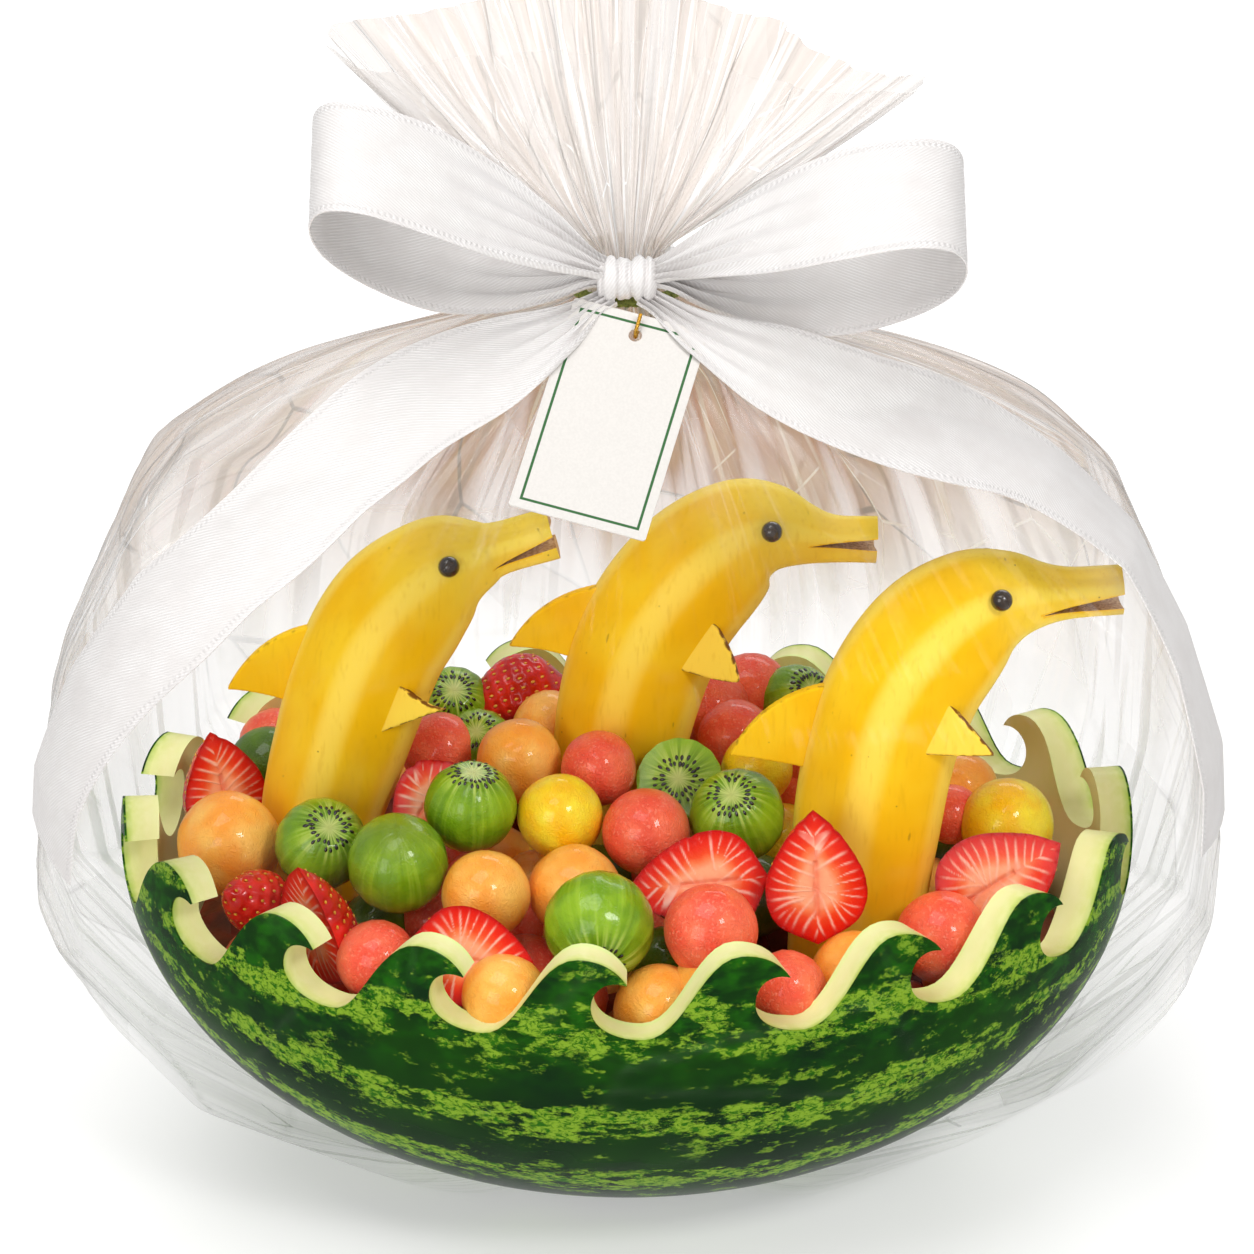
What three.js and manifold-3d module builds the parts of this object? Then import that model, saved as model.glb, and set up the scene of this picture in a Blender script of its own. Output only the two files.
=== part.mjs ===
// A watermelon carved as a boat with a rim of curling waves, heaped with fruit. Three banana dolphins
// leap out of the heap, and a clear film wrap is gathered over it and tied with a ribbon bow and a tag.
// Millimetres, +Z up. X runs along the melon, -Y is the front, and the origin is under the middle of
// the wrap, on the surface it stands on.
import * as THREE from "three";
import { mergeVertices } from "three/addons/utils/BufferGeometryUtils.js";
import Module from "manifold-3d";

const wasm = await Module();
wasm.setup();

// Driving dimensions
const clearance = 0.3; // between pieces that touch
const filmThickness = 1;
const melonHalfLength = 140;
const melonRadius = 102; // half width, and half height of the whole melon
const rindThickness = 9.5;
const rimHeight = 100; // height of the melon's middle plane
const waveCount = 18;
const troughDrop = 10; // how far a wave's trough lies under the middle plane
const crestRise = 13; // how far a wave's crest stands over it
const waveOffset = 0.6; // turns the waves round the rim, as a share of one wave
const bananaRidge = 0.03; // how far the five ridges of a banana stand out, as a share of its radius
const finThickness = 3.4;
const eyeRadius = 2.9;
const ribbonThickness = 0.8;
const neckHeight = 265; // the narrowest place of the wrap
const neckRadius = 10;
const cardWidth = 36;
const cardLength = 60;
const cardThickness = 0.6;

// Colours
const look = {
  rind: { color: 0x1f5a1c, roughness: 0.35 },
  banana: { color: 0xf2c41d, roughness: 0.5 },
  clove: { color: 0x2a1c14, roughness: 0.3 },
  cantaloupe: { color: 0xf6953f, roughness: 0.4 },
  watermelon: { color: 0xe4585a, roughness: 0.4 },
  yellowMelon: { color: 0xf9d21c, roughness: 0.4 },
  honeydew: { color: 0x5f9c3e, roughness: 0.4 },
  kiwi: { color: 0x72a82a, roughness: 0.35 },
  strawberry: { color: 0xd42a20, roughness: 0.3 },
  film: { color: 0xf7f4ef, roughness: 0.1, transparent: true, opacity: 0.3 },
  satin: { color: 0xf6f4f2, roughness: 0.45 },
  tie: { color: 0x6f8a2c, roughness: 0.6 },
  card: { color: 0xf8f5f1, roughness: 0.8 },
  gold: { color: 0xcf9f3a, roughness: 0.35, metalness: 0.8 },
};

const boat = new THREE.Group();

function vec(x, y, z) {
  return new THREE.Vector3(x, y, z);
}

function add(name, geometry, material, group = boat) {
  const mesh = new THREE.Mesh(geometry, new THREE.MeshStandardMaterial(material));
  mesh.name = name;
  group.add(mesh);
  return mesh;
}

// Booleans: a geometry as a solid, and a solid as a geometry
function solidOf(geometry) {
  const bare = geometry.clone();
  bare.deleteAttribute("normal");
  bare.deleteAttribute("uv");
  const merged = mergeVertices(bare, 1e-4);
  const mesh = new wasm.Mesh({
    numProp: 3,
    vertProperties: merged.attributes.position.array,
    triVerts: new Uint32Array(merged.index.array),
  });
  return new wasm.Manifold(mesh);
}

function geometryOf(solid) {
  const mesh = solid.getMesh();
  const geometry = new THREE.BufferGeometry();
  geometry.setAttribute("position", new THREE.BufferAttribute(mesh.vertProperties, 3));
  geometry.setIndex(new THREE.BufferAttribute(mesh.triVerts, 1));
  return geometry;
}

// A closed skin over rings of equally many points, with both ends capped
function loft(rings) {
  const sides = rings[0].length;
  const points = rings.flat();
  const faces = [];
  for (let k = 0; k + 1 < rings.length; k++) {
    for (let j = 0; j < sides; j++) {
      const a = k * sides + j;
      const b = k * sides + ((j + 1) % sides);
      faces.push(a, b, b + sides, a, b + sides, a + sides);
    }
  }
  const last = (rings.length - 1) * sides;
  for (let j = 1; j + 1 < sides; j++) {
    faces.push(0, j + 1, j, last, last + j, last + j + 1);
  }
  let volume = 0;
  for (let i = 0; i < faces.length; i += 3) {
    const [a, b, c] = [points[faces[i]], points[faces[i + 1]], points[faces[i + 2]]];
    volume += a.dot(b.clone().cross(c));
  }
  if (volume < 0) faces.reverse();
  const geometry = new THREE.BufferGeometry().setFromPoints(points);
  return geometry.setIndex(faces);
}

// Turns and moves a geometry so that its x, y and z run along three given directions
function orient(geometry, xAxis, yAxis, zAxis, origin) {
  const basis = new THREE.Matrix4().makeBasis(xAxis, yAxis, zAxis).setPosition(origin);
  return geometry.applyMatrix4(basis);
}

function plate(shape, thickness, curveSegments = 4) {
  const geometry = new THREE.ExtrudeGeometry(shape, {
    depth: thickness,
    bevelEnabled: false,
    curveSegments,
  });
  return geometry.translate(0, 0, -thickness / 2);
}

function block(x0, x1, y0, y1, z0, z1) {
  const geometry = new THREE.BoxGeometry(x1 - x0, y1 - y0, z1 - z0);
  return geometry.translate((x0 + x1) / 2, (y0 + y1) / 2, (z0 + z1) / 2);
}

// ---- The melon shell ----

// The rim of one wave, from trough to trough: distance along the rim, and height over the trough
function waveRim(period) {
  const crest = crestRise + troughDrop;
  const path = new THREE.Path();
  path.moveTo(0, 0);
  path.bezierCurveTo(0.24 * period, 0, 0.34 * period, crest, 0.6 * period, crest);
  path.bezierCurveTo(0.74 * period, crest, 0.84 * period, 0.88 * crest, 0.9 * period, 0.7 * crest);
  path.bezierCurveTo(0.78 * period, 0.78 * crest, 0.68 * period, 0.66 * crest, 0.68 * period, 0.4 * crest);
  path.bezierCurveTo(0.69 * period, 0.12 * crest, 0.85 * period, 0, period, 0);
  return path.getPoints(4);
}

// Angle round the melon at a distance along its rim, counted in waves
const rimTable = new THREE.EllipseCurve(0, 0, melonHalfLength, melonRadius);
rimTable.arcLengthDivisions = 720;
const wavePeriod = rimTable.getLength() / waveCount;

function rimAngle(waves) {
  const share = (waves + waveOffset) / waveCount;
  const turns = Math.floor(share);
  return 2 * Math.PI * rimTable.getUtoTmapping(share - turns);
}

function onMelon(inset, angle, z) {
  const length = melonHalfLength - inset;
  const radius = melonRadius - inset;
  const scale = Math.sqrt(Math.max(0, 1 - ((z - rimHeight) / radius) ** 2));
  return vec(length * scale * Math.cos(angle), radius * scale * Math.sin(angle), z);
}

function melonShell() {
  const trough = rimHeight - troughDrop;
  const seam = trough - 8; // where the waves' panels meet the bowl's rings
  const rim = waveRim(wavePeriod);
  const panel = [...rim.map(({ x, y }) => new THREE.Vector2(x, trough + y))];
  panel.push(new THREE.Vector2(wavePeriod, seam));
  panel.push(new THREE.Vector2(wavePeriod / 2, seam));
  panel.push(new THREE.Vector2(0, seam));
  panel.reverse();
  const facets = THREE.ShapeUtils.triangulateShape(panel, []);
  const [first] = facets;
  const backwards = THREE.ShapeUtils.isClockWise(first.map((corner) => panel[corner]));
  const triangles = [];
  const face = (a, b, c, flip) => triangles.push(a, flip ? c : b, flip ? b : c);

  for (const inset of [0, rindThickness]) {
    const flip = inset > 0;
    for (let wave = 0; wave < waveCount; wave++) {
      const corners = panel.map(({ x, y }) => onMelon(inset, rimAngle(wave + x / wavePeriod), y));
      for (const [a, b, c] of facets) face(corners[a], corners[b], corners[c], flip !== backwards);
    }
    const floor = filmThickness + clearance;
    const bottom = inset > 0 ? rimHeight - melonRadius + inset : floor;
    const rings = inset > 0 ? 5 : 6;
    const lowAngle = Math.asin((bottom - rimHeight) / (melonRadius - inset));
    const seamAngle = Math.asin((seam - rimHeight) / (melonRadius - inset));
    const levels = [];
    for (let k = 0; k <= rings; k++) {
      const share = inset > 0 ? (k + 0.7) / (rings + 0.7) : k / rings;
      const angle = THREE.MathUtils.lerp(lowAngle, seamAngle, share);
      levels.push(rimHeight + (melonRadius - inset) * Math.sin(angle));
    }
    levels[rings] = seam;
    for (let step = 0; step < 2 * waveCount; step++) {
      const [a, b] = [rimAngle(step / 2), rimAngle((step + 1) / 2)];
      face(vec(0, 0, bottom), onMelon(inset, a, levels[0]), onMelon(inset, b, levels[0]), !flip);
      for (let k = 0; k < rings; k++) {
        const [p, q] = [onMelon(inset, a, levels[k]), onMelon(inset, b, levels[k])];
        const [r, s] = [onMelon(inset, b, levels[k + 1]), onMelon(inset, a, levels[k + 1])];
        face(p, q, r, flip);
        face(p, r, s, flip);
      }
    }
  }

  // The cut face along the top of the waves
  for (let wave = 0; wave < waveCount; wave++) {
    for (let i = 0; i + 1 < rim.length; i++) {
      const [a, b] = [rim[i], rim[i + 1]].map(({ x, y }) => ({ turn: rimAngle(wave + x / wavePeriod), z: trough + y }));
      const [p, q] = [onMelon(0, a.turn, a.z), onMelon(0, b.turn, b.z)];
      const [r, s] = [onMelon(rindThickness, b.turn, b.z), onMelon(rindThickness, a.turn, a.z)];
      face(p, q, r, false);
      face(p, r, s, false);
    }
  }
  return new THREE.BufferGeometry().setFromPoints(triangles);
}

add("melon_shell", melonShell(), look.rind);

// ---- The banana dolphins ----

// Each spine runs from the cut end in the heap up over the head to the beak:
// along X, height, thickness across the bend, thickness sideways
const dolphins = [
  {
    at: [-79, 8, -8],
    yaw: 3,
    spine: [[-8, 88, 31, 31], [-5.5, 110, 34, 34], [-0.5, 128, 37, 36.5], [5, 146, 38.5, 37.5],
      [11.5, 162, 38.5, 36.5], [20, 174, 36.5, 34], [30.5, 183.3, 29.5, 28], [40, 186.5, 18.5, 18.5],
      [45, 188, 14.5, 13], [59, 192, 14, 11]],
    mouth: { corner: [42.5, 184.2], rise: 23 },
    eye: [30.4, 188.5],
    dorsal: [[-8, 166], [-31, 147.5], [-15, 144]],
    flipper: { top: [16.3, 155.3], bottom: [9.7, 139.8], tip: [29.4, 150.1] },
  },
  {
    at: [-1, 28, -4.5],
    yaw: 2,
    spine: [[-2, 88, 34, 34], [-1, 112, 37, 36], [2, 132, 39, 38], [7, 148, 40, 38], [14, 161, 40, 37],
      [24, 173, 38, 35], [35, 181.5, 32, 29], [45, 182.5, 25, 22], [53, 179, 16, 14], [70, 177.3, 14, 11]],
    mouth: { corner: [50.5, 178.2], rise: -6 },
    eye: [40.1, 186.8],
    dorsal: [[-7, 165.5], [-32, 147.5], [-15.5, 144.5]],
    flipper: { top: [24.7, 160.6], bottom: [14.6, 146.8], tip: [30.8, 145.3] },
  },
  {
    at: [65.5, -24, -12],
    yaw: 4,
    spine: [[-3, 86, 36, 35], [-1.5, 112, 38.5, 37.5], [0.5, 132, 40, 39], [4.5, 154, 40, 39],
      [10, 169, 40, 38], [19, 182, 38, 35], [29, 190.5, 32, 29], [38, 192.5, 24, 22],
      [46, 191.5, 17, 14], [66, 192.3, 15, 11]],
    mouth: { corner: [44, 188.5], rise: 7.3 },
    eye: [31.8, 196.6],
    dorsal: [[-12.5, 167.5], [-38, 147.5], [-18, 143.5]],
    flipper: { top: [18.3, 168.6], bottom: [9.4, 153.6], tip: [30, 155.2] },
  },
];

function dolphinLine(spine) {
  const middle = spine.map(([x, z]) => vec(x, 0, z));
  const girth = spine.map(([, , across, sideways]) => vec(across / 2, sideways / 2, 0));
  return {
    middle: new THREE.CatmullRomCurve3(middle, false, "catmullrom", 0.5),
    girth: new THREE.CatmullRomCurve3(girth, false, "catmullrom", 0.5),
  };
}

function dolphinSkin(spine, swell = 0) {
  const { middle, girth } = dolphinLine(spine);
  const sides = 10;
  const stations = 15;
  const rings = [];
  for (let k = 0; k <= stations; k++) {
    const centre = middle.getPoint(k / stations);
    const along = middle.getTangent(k / stations);
    const back = vec(-along.z, 0, along.x);
    const { x: across, y: sideways } = girth.getPoint(k / stations);
    const ring = [];
    for (let j = 0; j < sides; j++) {
      const turn = (2 * Math.PI * j) / sides;
      const ridge = 1 + bananaRidge * Math.cos(5 * turn);
      const point = centre.clone().addScaledVector(back, (across * ridge + swell) * Math.cos(turn));
      point.y += (sideways * ridge + swell) * Math.sin(turn);
      ring.push(point);
    }
    rings.push(ring);
  }
  return loft(rings);
}

// The wedge that splits the banana's stem into two jaws
function mouthWedge({ corner: [x, z], rise }) {
  const reach = 26;
  const gape = 2.6;
  const wedge = new THREE.Shape([
    new THREE.Vector2(0, 0),
    new THREE.Vector2(reach, -gape),
    new THREE.Vector2(reach, gape),
  ]);
  const geometry = plate(wedge, 30);
  geometry.rotateZ(THREE.MathUtils.degToRad(rise));
  geometry.rotateX(Math.PI / 2);
  return geometry.translate(x, 0, z);
}

function dorsalFin([[topX, topZ], [tipX, tipZ], [lowX, lowZ]]) {
  const shape = new THREE.Shape();
  const root = 6; // how far the blank reaches into the body before it is trimmed
  shape.moveTo(topX + root, topZ);
  shape.lineTo(topX, topZ);
  shape.quadraticCurveTo(tipX + 8, topZ - 3, tipX, tipZ);
  shape.quadraticCurveTo(tipX + 8, lowZ + 3, lowX, lowZ);
  shape.lineTo(lowX + root, lowZ);
  return plate(shape, finThickness).rotateX(Math.PI / 2);
}

function flipperFin({ top, bottom, tip }, side, flank) {
  const rootTop = vec(top[0], side * flank, top[1]);
  const rootLow = vec(bottom[0], side * flank, bottom[1]);
  const end = vec(tip[0], side * (flank + 7), tip[1]);
  const root = rootTop.clone().sub(rootLow);
  const span = root.length();
  const up = root.normalize();
  const out = end.clone().sub(rootLow);
  const endUp = out.dot(up);
  out.addScaledVector(up, -endUp);
  const reach = out.length();
  out.normalize();
  const shape = new THREE.Shape();
  shape.moveTo(0, -7);
  shape.lineTo(0, 0);
  shape.quadraticCurveTo(endUp - 3.5, reach * 0.75, endUp, reach);
  shape.quadraticCurveTo(span * 0.8, reach * 0.7, span, 0);
  shape.lineTo(span, -7);
  const geometry = plate(shape, finThickness, 3);
  return orient(geometry, up, out, up.clone().cross(out), rootLow);
}

dolphins.forEach(({ at: [x, y, z], yaw, spine, mouth, eye, dorsal, flipper }, index) => {
  const name = `dolphin_${index + 1}`;
  const group = new THREE.Group();
  group.position.set(x, y, z);
  group.rotation.z = THREE.MathUtils.degToRad(yaw);
  boat.add(group);

  const skin = solidOf(dolphinSkin(spine));
  const swollen = solidOf(dolphinSkin(spine, clearance));
  const trim = (geometry) => geometryOf(solidOf(geometry).subtract(swollen));
  add(`${name}_body`, geometryOf(skin.subtract(solidOf(mouthWedge(mouth)))), look.banana, group);
  add(`${name}_dorsal`, trim(dorsalFin(dorsal)), look.banana, group);
  for (const [sideName, side] of [["near", -1], ["far", 1]]) {
    add(`${name}_flipper_${sideName}`, trim(flipperFin(flipper, side, 15)), look.banana, group);
    const ball = new THREE.SphereGeometry(eyeRadius, 10, 6);
    ball.translate(eye[0], side * 13.7, eye[1]);
    add(`${name}_eye_${sideName}`, trim(ball), look.clove, group);
  }
});

// ---- The fruit ----

// name, what it is cut from, size, place, and the way it faces: for a kiwi the core end, for a
// strawberry the tip, and for a half strawberry the cut face too
const fruits = [
  ["strawberry_half_1", "strawberryHalf", 34, [-117, 14, 106], [-0.2, 0.1, 1], [0.5, -0.85, 0.2]],
  ["cantaloupe_ball_1", "cantaloupe", 29, [-109, -14, 102]],
  ["honeydew_ball_1", "honeydew", 22, [-103, 36, 101]],
  ["strawberry_1", "strawberry", 25, [-101, -38, 97], [-0.5, -0.6, 0.5]],
  ["strawberry_half_2", "strawberryHalf", 38, [-82, -54, 100], [-0.12, -0.1, 1], [-0.75, -0.6, 0.2]],
  ["kiwi_ball_1", "kiwi", 25, [-83, -26, 108], [0.25, -0.6, 0.75]],
  ["kiwi_ball_2", "kiwi", 27, [-62, -44, 109], [0, 0.3, -1]],
  ["strawberry_half_3", "strawberryHalf", 28, [-55, -10, 112], [-0.5, -0.3, -0.7], [0.2, -0.35, 0.9]],
  ["cantaloupe_ball_2", "cantaloupe", 24, [-30, 9, 116]],
  ["kiwi_ball_3", "kiwi", 25, [-41, -22, 117], [0.08, -0.12, 1]],
  ["yellow_melon_ball_1", "yellowMelon", 23.5, [-15, -21, 114]],
  ["watermelon_ball_1", "watermelon", 21, [-7, -2, 118]],
  ["cantaloupe_ball_3", "cantaloupe", 24, [-38, -54, 105]],
  ["cantaloupe_ball_4", "cantaloupe", 25, [-17, -43, 104]],
  ["strawberry_half_4", "strawberryHalf", 36, [-39, -75, 101], [0.95, -0.1, -0.25], [0, -0.85, 0.5]],
  ["kiwi_ball_4", "kiwi", 29, [-6, -69, 104], [0.02, -0.9, -0.35]],
  ["watermelon_ball_2", "watermelon", 24, [5, -29, 112]],
  ["kiwi_ball_5", "kiwiHalf", 24, [14, -3, 115], [-0.15, -0.7, 0.7]],
  ["kiwi_ball_6", "kiwi", 26, [27, -22, 114], [-0.15, -0.55, 0.82]],
  ["yellow_melon_ball_2", "yellowMelon", 20, [36, 6, 115]],
  ["strawberry_half_5", "strawberryHalf", 38, [20, -49, 111], [-0.97, -0.1, -0.05], [0.05, -0.8, 0.6]],
  ["watermelon_ball_3", "watermelon", 25, [22, -70, 105]],
  ["strawberry_half_6", "strawberryHalf", 37, [50, -53, 113], [-0.05, 0.2, 1], [0.05, -0.95, 0.25]],
  ["cantaloupe_ball_5", "cantaloupe", 24, [7, -77, 88]],
  ["cantaloupe_ball_6", "cantaloupe", 25, [63, -68, 90]],
  ["watermelon_ball_4", "watermelon", 25, [84, -53, 94]],
  ["strawberry_half_7", "strawberryHalf", 40, [98, -39, 104], [0.8, -0.05, 0.6], [-0.1, -0.85, 0.5]],
  ["yellow_melon_ball_3", "yellowMelon", 26, [105, -4, 103]],
  ["strawberry_2", "strawberry", 34, [-33, 56, 112], [-0.9, -0.2, -0.3]],
  ["watermelon_ball_5", "watermelon", 22, [31, 36, 110]],
  ["watermelon_ball_6", "watermelon", 22, [-53, 28, 110]],
];

// Smaller and half hidden fruit, which is part of the heap's uneven top: size and place
const heapFruit = [
  [22, [-101, 50, 101]], [20, [-42, 32, 110]], [22, [-22, 38, 112]], [22, [-50, 54, 112]],
  [17, [90, 2, 103]], [21, [94, 18, 103]], [23, [24, 56, 110]], [24, [36, 68, 109]],
  [22, [49, 62, 109]], [23, [-32, -82, 92]], [22, [-66, -66, 94]], [21, [42, -78, 92]],
  [22, [23, -76, 92]], [22, [70, 46, 104]], [22, [78, 22, 104]], [22, [4, 74, 105]],
  [22, [-70, 56, 104]], [22, [-84, 44, 102]], [24, [-6, 56, 108]], [22, [56, 30, 106]],
];

const nearTip = 0.3;
const halfDepth = 0.36; // thickness of a half strawberry, as a share of its length

// A strawberry lies along its own Z with the tip up, and a half one is cut along its own -Y
function strawberryProfile(length) {
  const girths = [0, 0.262, 0.348, 0.36, 0.325, 0.25, 0.15, 0];
  return girths.map((girth, k) => {
    const share = k / (girths.length - 1);
    return new THREE.Vector2(girth * length, (share - 0.5) * length);
  });
}

function strawberryBlank(length, sides) {
  const berry = new THREE.LatheGeometry(strawberryProfile(length), sides);
  berry.rotateX(Math.PI / 2);
  return berry.scale(1, 0.94, 1);
}

function cutBall(size, keep) {
  const radius = size / 2;
  const ball = solidOf(new THREE.IcosahedronGeometry(radius, 1));
  return geometryOf(ball.intersect(solidOf(block(-size, size, -size, size, -size, keep * radius))));
}

// How each kind is cut, and the balls that take its room while the heap settles
const kinds = {
  cantaloupe: ballKind("cantaloupe"),
  watermelon: ballKind("watermelon"),
  honeydew: ballKind("honeydew"),
  yellowMelon: ballKind("yellowMelon"),
  kiwi: { ...ballKind("kiwi"), make: (size) => cutBall(size, 0.9) },
  kiwiHalf: { ...ballKind("kiwi"), make: (size) => cutBall(size, 0.25) },
  strawberry: {
    look: look.strawberry,
    make: (length) => strawberryBlank(length, 9),
    room: (length) => [
      [0, 0, -0.12 * length, 0.375 * length],
      [0, 0, 0.18 * length, 0.27 * length],
      [0, 0, 0.36 * length, 0.15 * length],
    ],
  },
  strawberryHalf: {
    look: look.strawberry,
    make: (length) => {
      const reach = length;
      const keep = block(-reach, reach, 0, reach, -reach, reach);
      return geometryOf(solidOf(strawberryBlank(length, 12)).intersect(solidOf(keep)));
    },
    room: (length) => {
      const depth = (halfDepth * length) / 2;
      const ball = depth + 1.3;
      return [
        [-0.17 * length, depth, -0.16 * length, ball], [0.17 * length, depth, -0.16 * length, ball],
        [0, depth, -0.28 * length, ball], [0, depth, 0, ball],
        [-0.1 * length, depth, 0.08 * length, ball], [0.1 * length, depth, 0.08 * length, ball],
        [0, depth, nearTip * length, 0.9 * depth],
        [-0.26 * length, 0.1 * length, -0.14 * length, 0.11 * length],
        [-0.17 * length, 0.09 * length, -0.33 * length, 0.1 * length],
        [0.17 * length, 0.09 * length, -0.33 * length, 0.1 * length],
        [0.26 * length, 0.1 * length, -0.14 * length, 0.11 * length],
        [-0.31 * length, 0.04 * length, -0.12 * length, 0.055 * length],
        [0.31 * length, 0.04 * length, -0.12 * length, 0.055 * length],
      ];
    },
  },
};

function ballKind(name) {
  return {
    look: look[name],
    make: (size) => new THREE.IcosahedronGeometry(size / 2, 1),
    room: (size) => [[0, 0, 0, size / 2]],
  };
}

// Directions of a piece's own axes, from the way its tip or core points and its cut face looks
function facing(tip = [0, 0, 1], face = null) {
  const up = vec(...tip).normalize();
  const hint = face ? vec(...face) : vec(0.3, -1, 0.2);
  const front = hint.addScaledVector(up, -hint.dot(up)).normalize();
  const back = front.clone().negate();
  return new THREE.Matrix4().makeBasis(back.clone().cross(up), back, up);
}

const pieces = fruits.map(([name, kind, size, place, tip, face]) => {
  const turn = facing(tip, face);
  const balls = kinds[kind].room(size).map(([x, y, z, radius]) => ({
    centre: vec(x, y, z).applyMatrix4(turn),
    radius,
  }));
  return { name, kind, size, turn, balls, wanted: vec(...place), place: vec(...place) };
});

const fixed = dolphins.flatMap(({ at, yaw, spine }) => {
  const { middle, girth } = dolphinLine(spine);
  const turn = new THREE.Matrix4().makeRotationZ(THREE.MathUtils.degToRad(yaw));
  const count = 24;
  return Array.from({ length: count }, (_, k) => {
    const along = (0.55 * k) / (count - 1);
    const { x: across, y: sideways } = girth.getPoint(along);
    return {
      centre: middle.getPoint(along).applyMatrix4(turn).add(vec(...at)),
      radius: Math.max(across, sideways) + 1,
    };
  });
});

const facetSlack = 1.4; // room for the flat facets of the rind's round inside

// Pushes a ball back inside the rind
function keepInside(place, { centre, radius }) {
  const gap = radius + clearance + facetSlack;
  const length = melonHalfLength - rindThickness - gap;
  const width = melonRadius - rindThickness - gap;
  const x = place.x + centre.x;
  const y = place.y + centre.y;
  const drop = Math.min(0, place.z + centre.z - rimHeight);
  const share = Math.sqrt((x / length) ** 2 + (y / width) ** 2 + (drop / width) ** 2);
  if (share <= 1) return;
  place.x -= x * (1 - 1 / share);
  place.y -= y * (1 - 1 / share);
  place.z -= drop * (1 - 1 / share);
}

// Nudges the pieces apart until none of them touch, while each is drawn back to where it was put
function settle(rounds) {
  const step = 0.4;
  for (let round = 0; round < rounds; round++) {
    const pull = 0.06 * Math.max(0, 1 - (1.6 * round) / rounds);
    pieces.forEach((piece, index) => {
      piece.place.lerp(piece.wanted, pull);
      for (const ball of piece.balls) {
        const here = piece.place.clone().add(ball.centre);
        for (const { centre, radius } of fixed) {
          const away = here.clone().sub(centre);
          const overlap = ball.radius + radius + clearance - away.length();
          if (overlap > 0) piece.place.addScaledVector(away.setZ(away.z * 0.3).normalize(), step * overlap);
        }
        for (const other of pieces.slice(index + 1)) {
          for (const next of other.balls) {
            const between = here.clone().sub(other.place).sub(next.centre);
            const overlap = ball.radius + next.radius + clearance - between.length();
            if (overlap <= 0) continue;
            between.normalize();
            piece.place.addScaledVector(between, (step * overlap) / 2);
            other.place.addScaledVector(between, (-step * overlap) / 2);
          }
        }
        keepInside(piece.place, ball);
      }
    });
  }
}

settle(900);
for (const { name, kind, size, turn, place } of pieces) {
  const mesh = add(name, kinds[kind].make(size), kinds[kind].look);
  mesh.applyMatrix4(turn);
  mesh.position.copy(place);
}

// ---- The heap of fruit under the pieces ----

function heapHeight(x, y) {
  const length = melonHalfLength - rindThickness;
  const width = melonRadius - rindThickness;
  const share = Math.min(1, (x / length) ** 2 + (y / width) ** 2);
  let height = 88 + 13 * (1 - share);
  for (const [size, [ballX, ballY, ballZ]] of heapFruit) {
    const radius = size / 2;
    const off = (x - ballX) ** 2 + (y - ballY) ** 2;
    if (off < radius ** 2) height = Math.max(height, ballZ + Math.sqrt(radius ** 2 - off));
  }
  const reach = 8; // how far past a piece the heap keeps under it, so that its facets clear
  const above = [...fixed];
  for (const { place, balls } of pieces) {
    for (const { centre, radius } of balls) above.push({ centre: place.clone().add(centre), radius });
  }
  for (const { centre, radius } of above) {
    const off = Math.hypot(x - centre.x, y - centre.y) - reach;
    if (off >= radius) continue;
    const under = centre.z - Math.sqrt(radius ** 2 - Math.max(0, off) ** 2) - 1.8;
    height = Math.min(height, under);
  }
  return height;
}

function heap() {
  const inset = rindThickness + clearance + facetSlack;
  const sectors = 40;
  const bands = 11;
  const depths = [32, 44, 54];
  const rings = [];
  const angle = (j) => (2 * Math.PI * j) / sectors;
  for (const level of depths) {
    rings.push(Array.from({ length: sectors }, (_, j) => onMelon(inset, angle(j), level)));
  }
  for (let band = bands; band >= 1; band--) {
    rings.push(Array.from({ length: sectors }, (_, j) => {
      const share = band / bands;
      const x = share * (melonHalfLength - inset) * Math.cos(angle(j));
      const y = share * (melonRadius - inset) * Math.sin(angle(j));
      const slope = Math.max(0, share - 0.96) * 100; // the outer edge dips along the rind
      return vec(x, y, Math.max(58, heapHeight(x, y) - slope));
    }));
    if (band === bands) {
      for (const point of rings.at(-1)) {
        const scale = Math.sqrt(1 - ((Math.min(point.z, rimHeight) - rimHeight) / (melonRadius - inset)) ** 2);
        point.x *= scale;
        point.y *= scale;
      }
    }
  }
  return loft(rings);
}

add("fruit_bed", heap(), look.cantaloupe);

// ---- The film wrap ----

// Height, half length, half depth, squareness of the wrap's outside, from the base to the neck
const wrapRows = [
  [0, 50, 36, 2.2], [8, 82, 58, 2.2], [24, 112, 82, 2.2], [48, 140, 103, 2.3], [78, 156, 115, 2.3],
  [108, 161, 119, 2.4], [140, 157.5, 110, 2.8], [172, 146, 94, 3.4], [200, 131, 76, 4],
  [220, 111, 58, 3.6], [236, 82, 39, 3], [248, 46, 24, 2.4], [254, 22, 15, 2], [258, 13, 11.5, 2],
  [261, 11, 10.5, 2], [neckHeight, neckRadius, neckRadius, 2],
];
// Height in the middle, half length, half depth, drop of the ends, and depth of the pleats
const fanRows = [
  [271, 11, 10.5, 0, 0.4], [287, 31, 18, 2, 2], [306, 53, 25, 6, 4], [334, 76, 32, 13, 6],
];
const wrapSides = 32;

function wrapAt(z) {
  const index = Math.max(0, Math.min(wrapRows.length - 2, wrapRows.findIndex(([top]) => top > z) - 1));
  const [low, high] = [wrapRows[index], wrapRows[index + 1]];
  const share = (z - low[0]) / (high[0] - low[0]);
  return low.map((value, k) => THREE.MathUtils.lerp(value, high[k], share));
}

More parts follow.
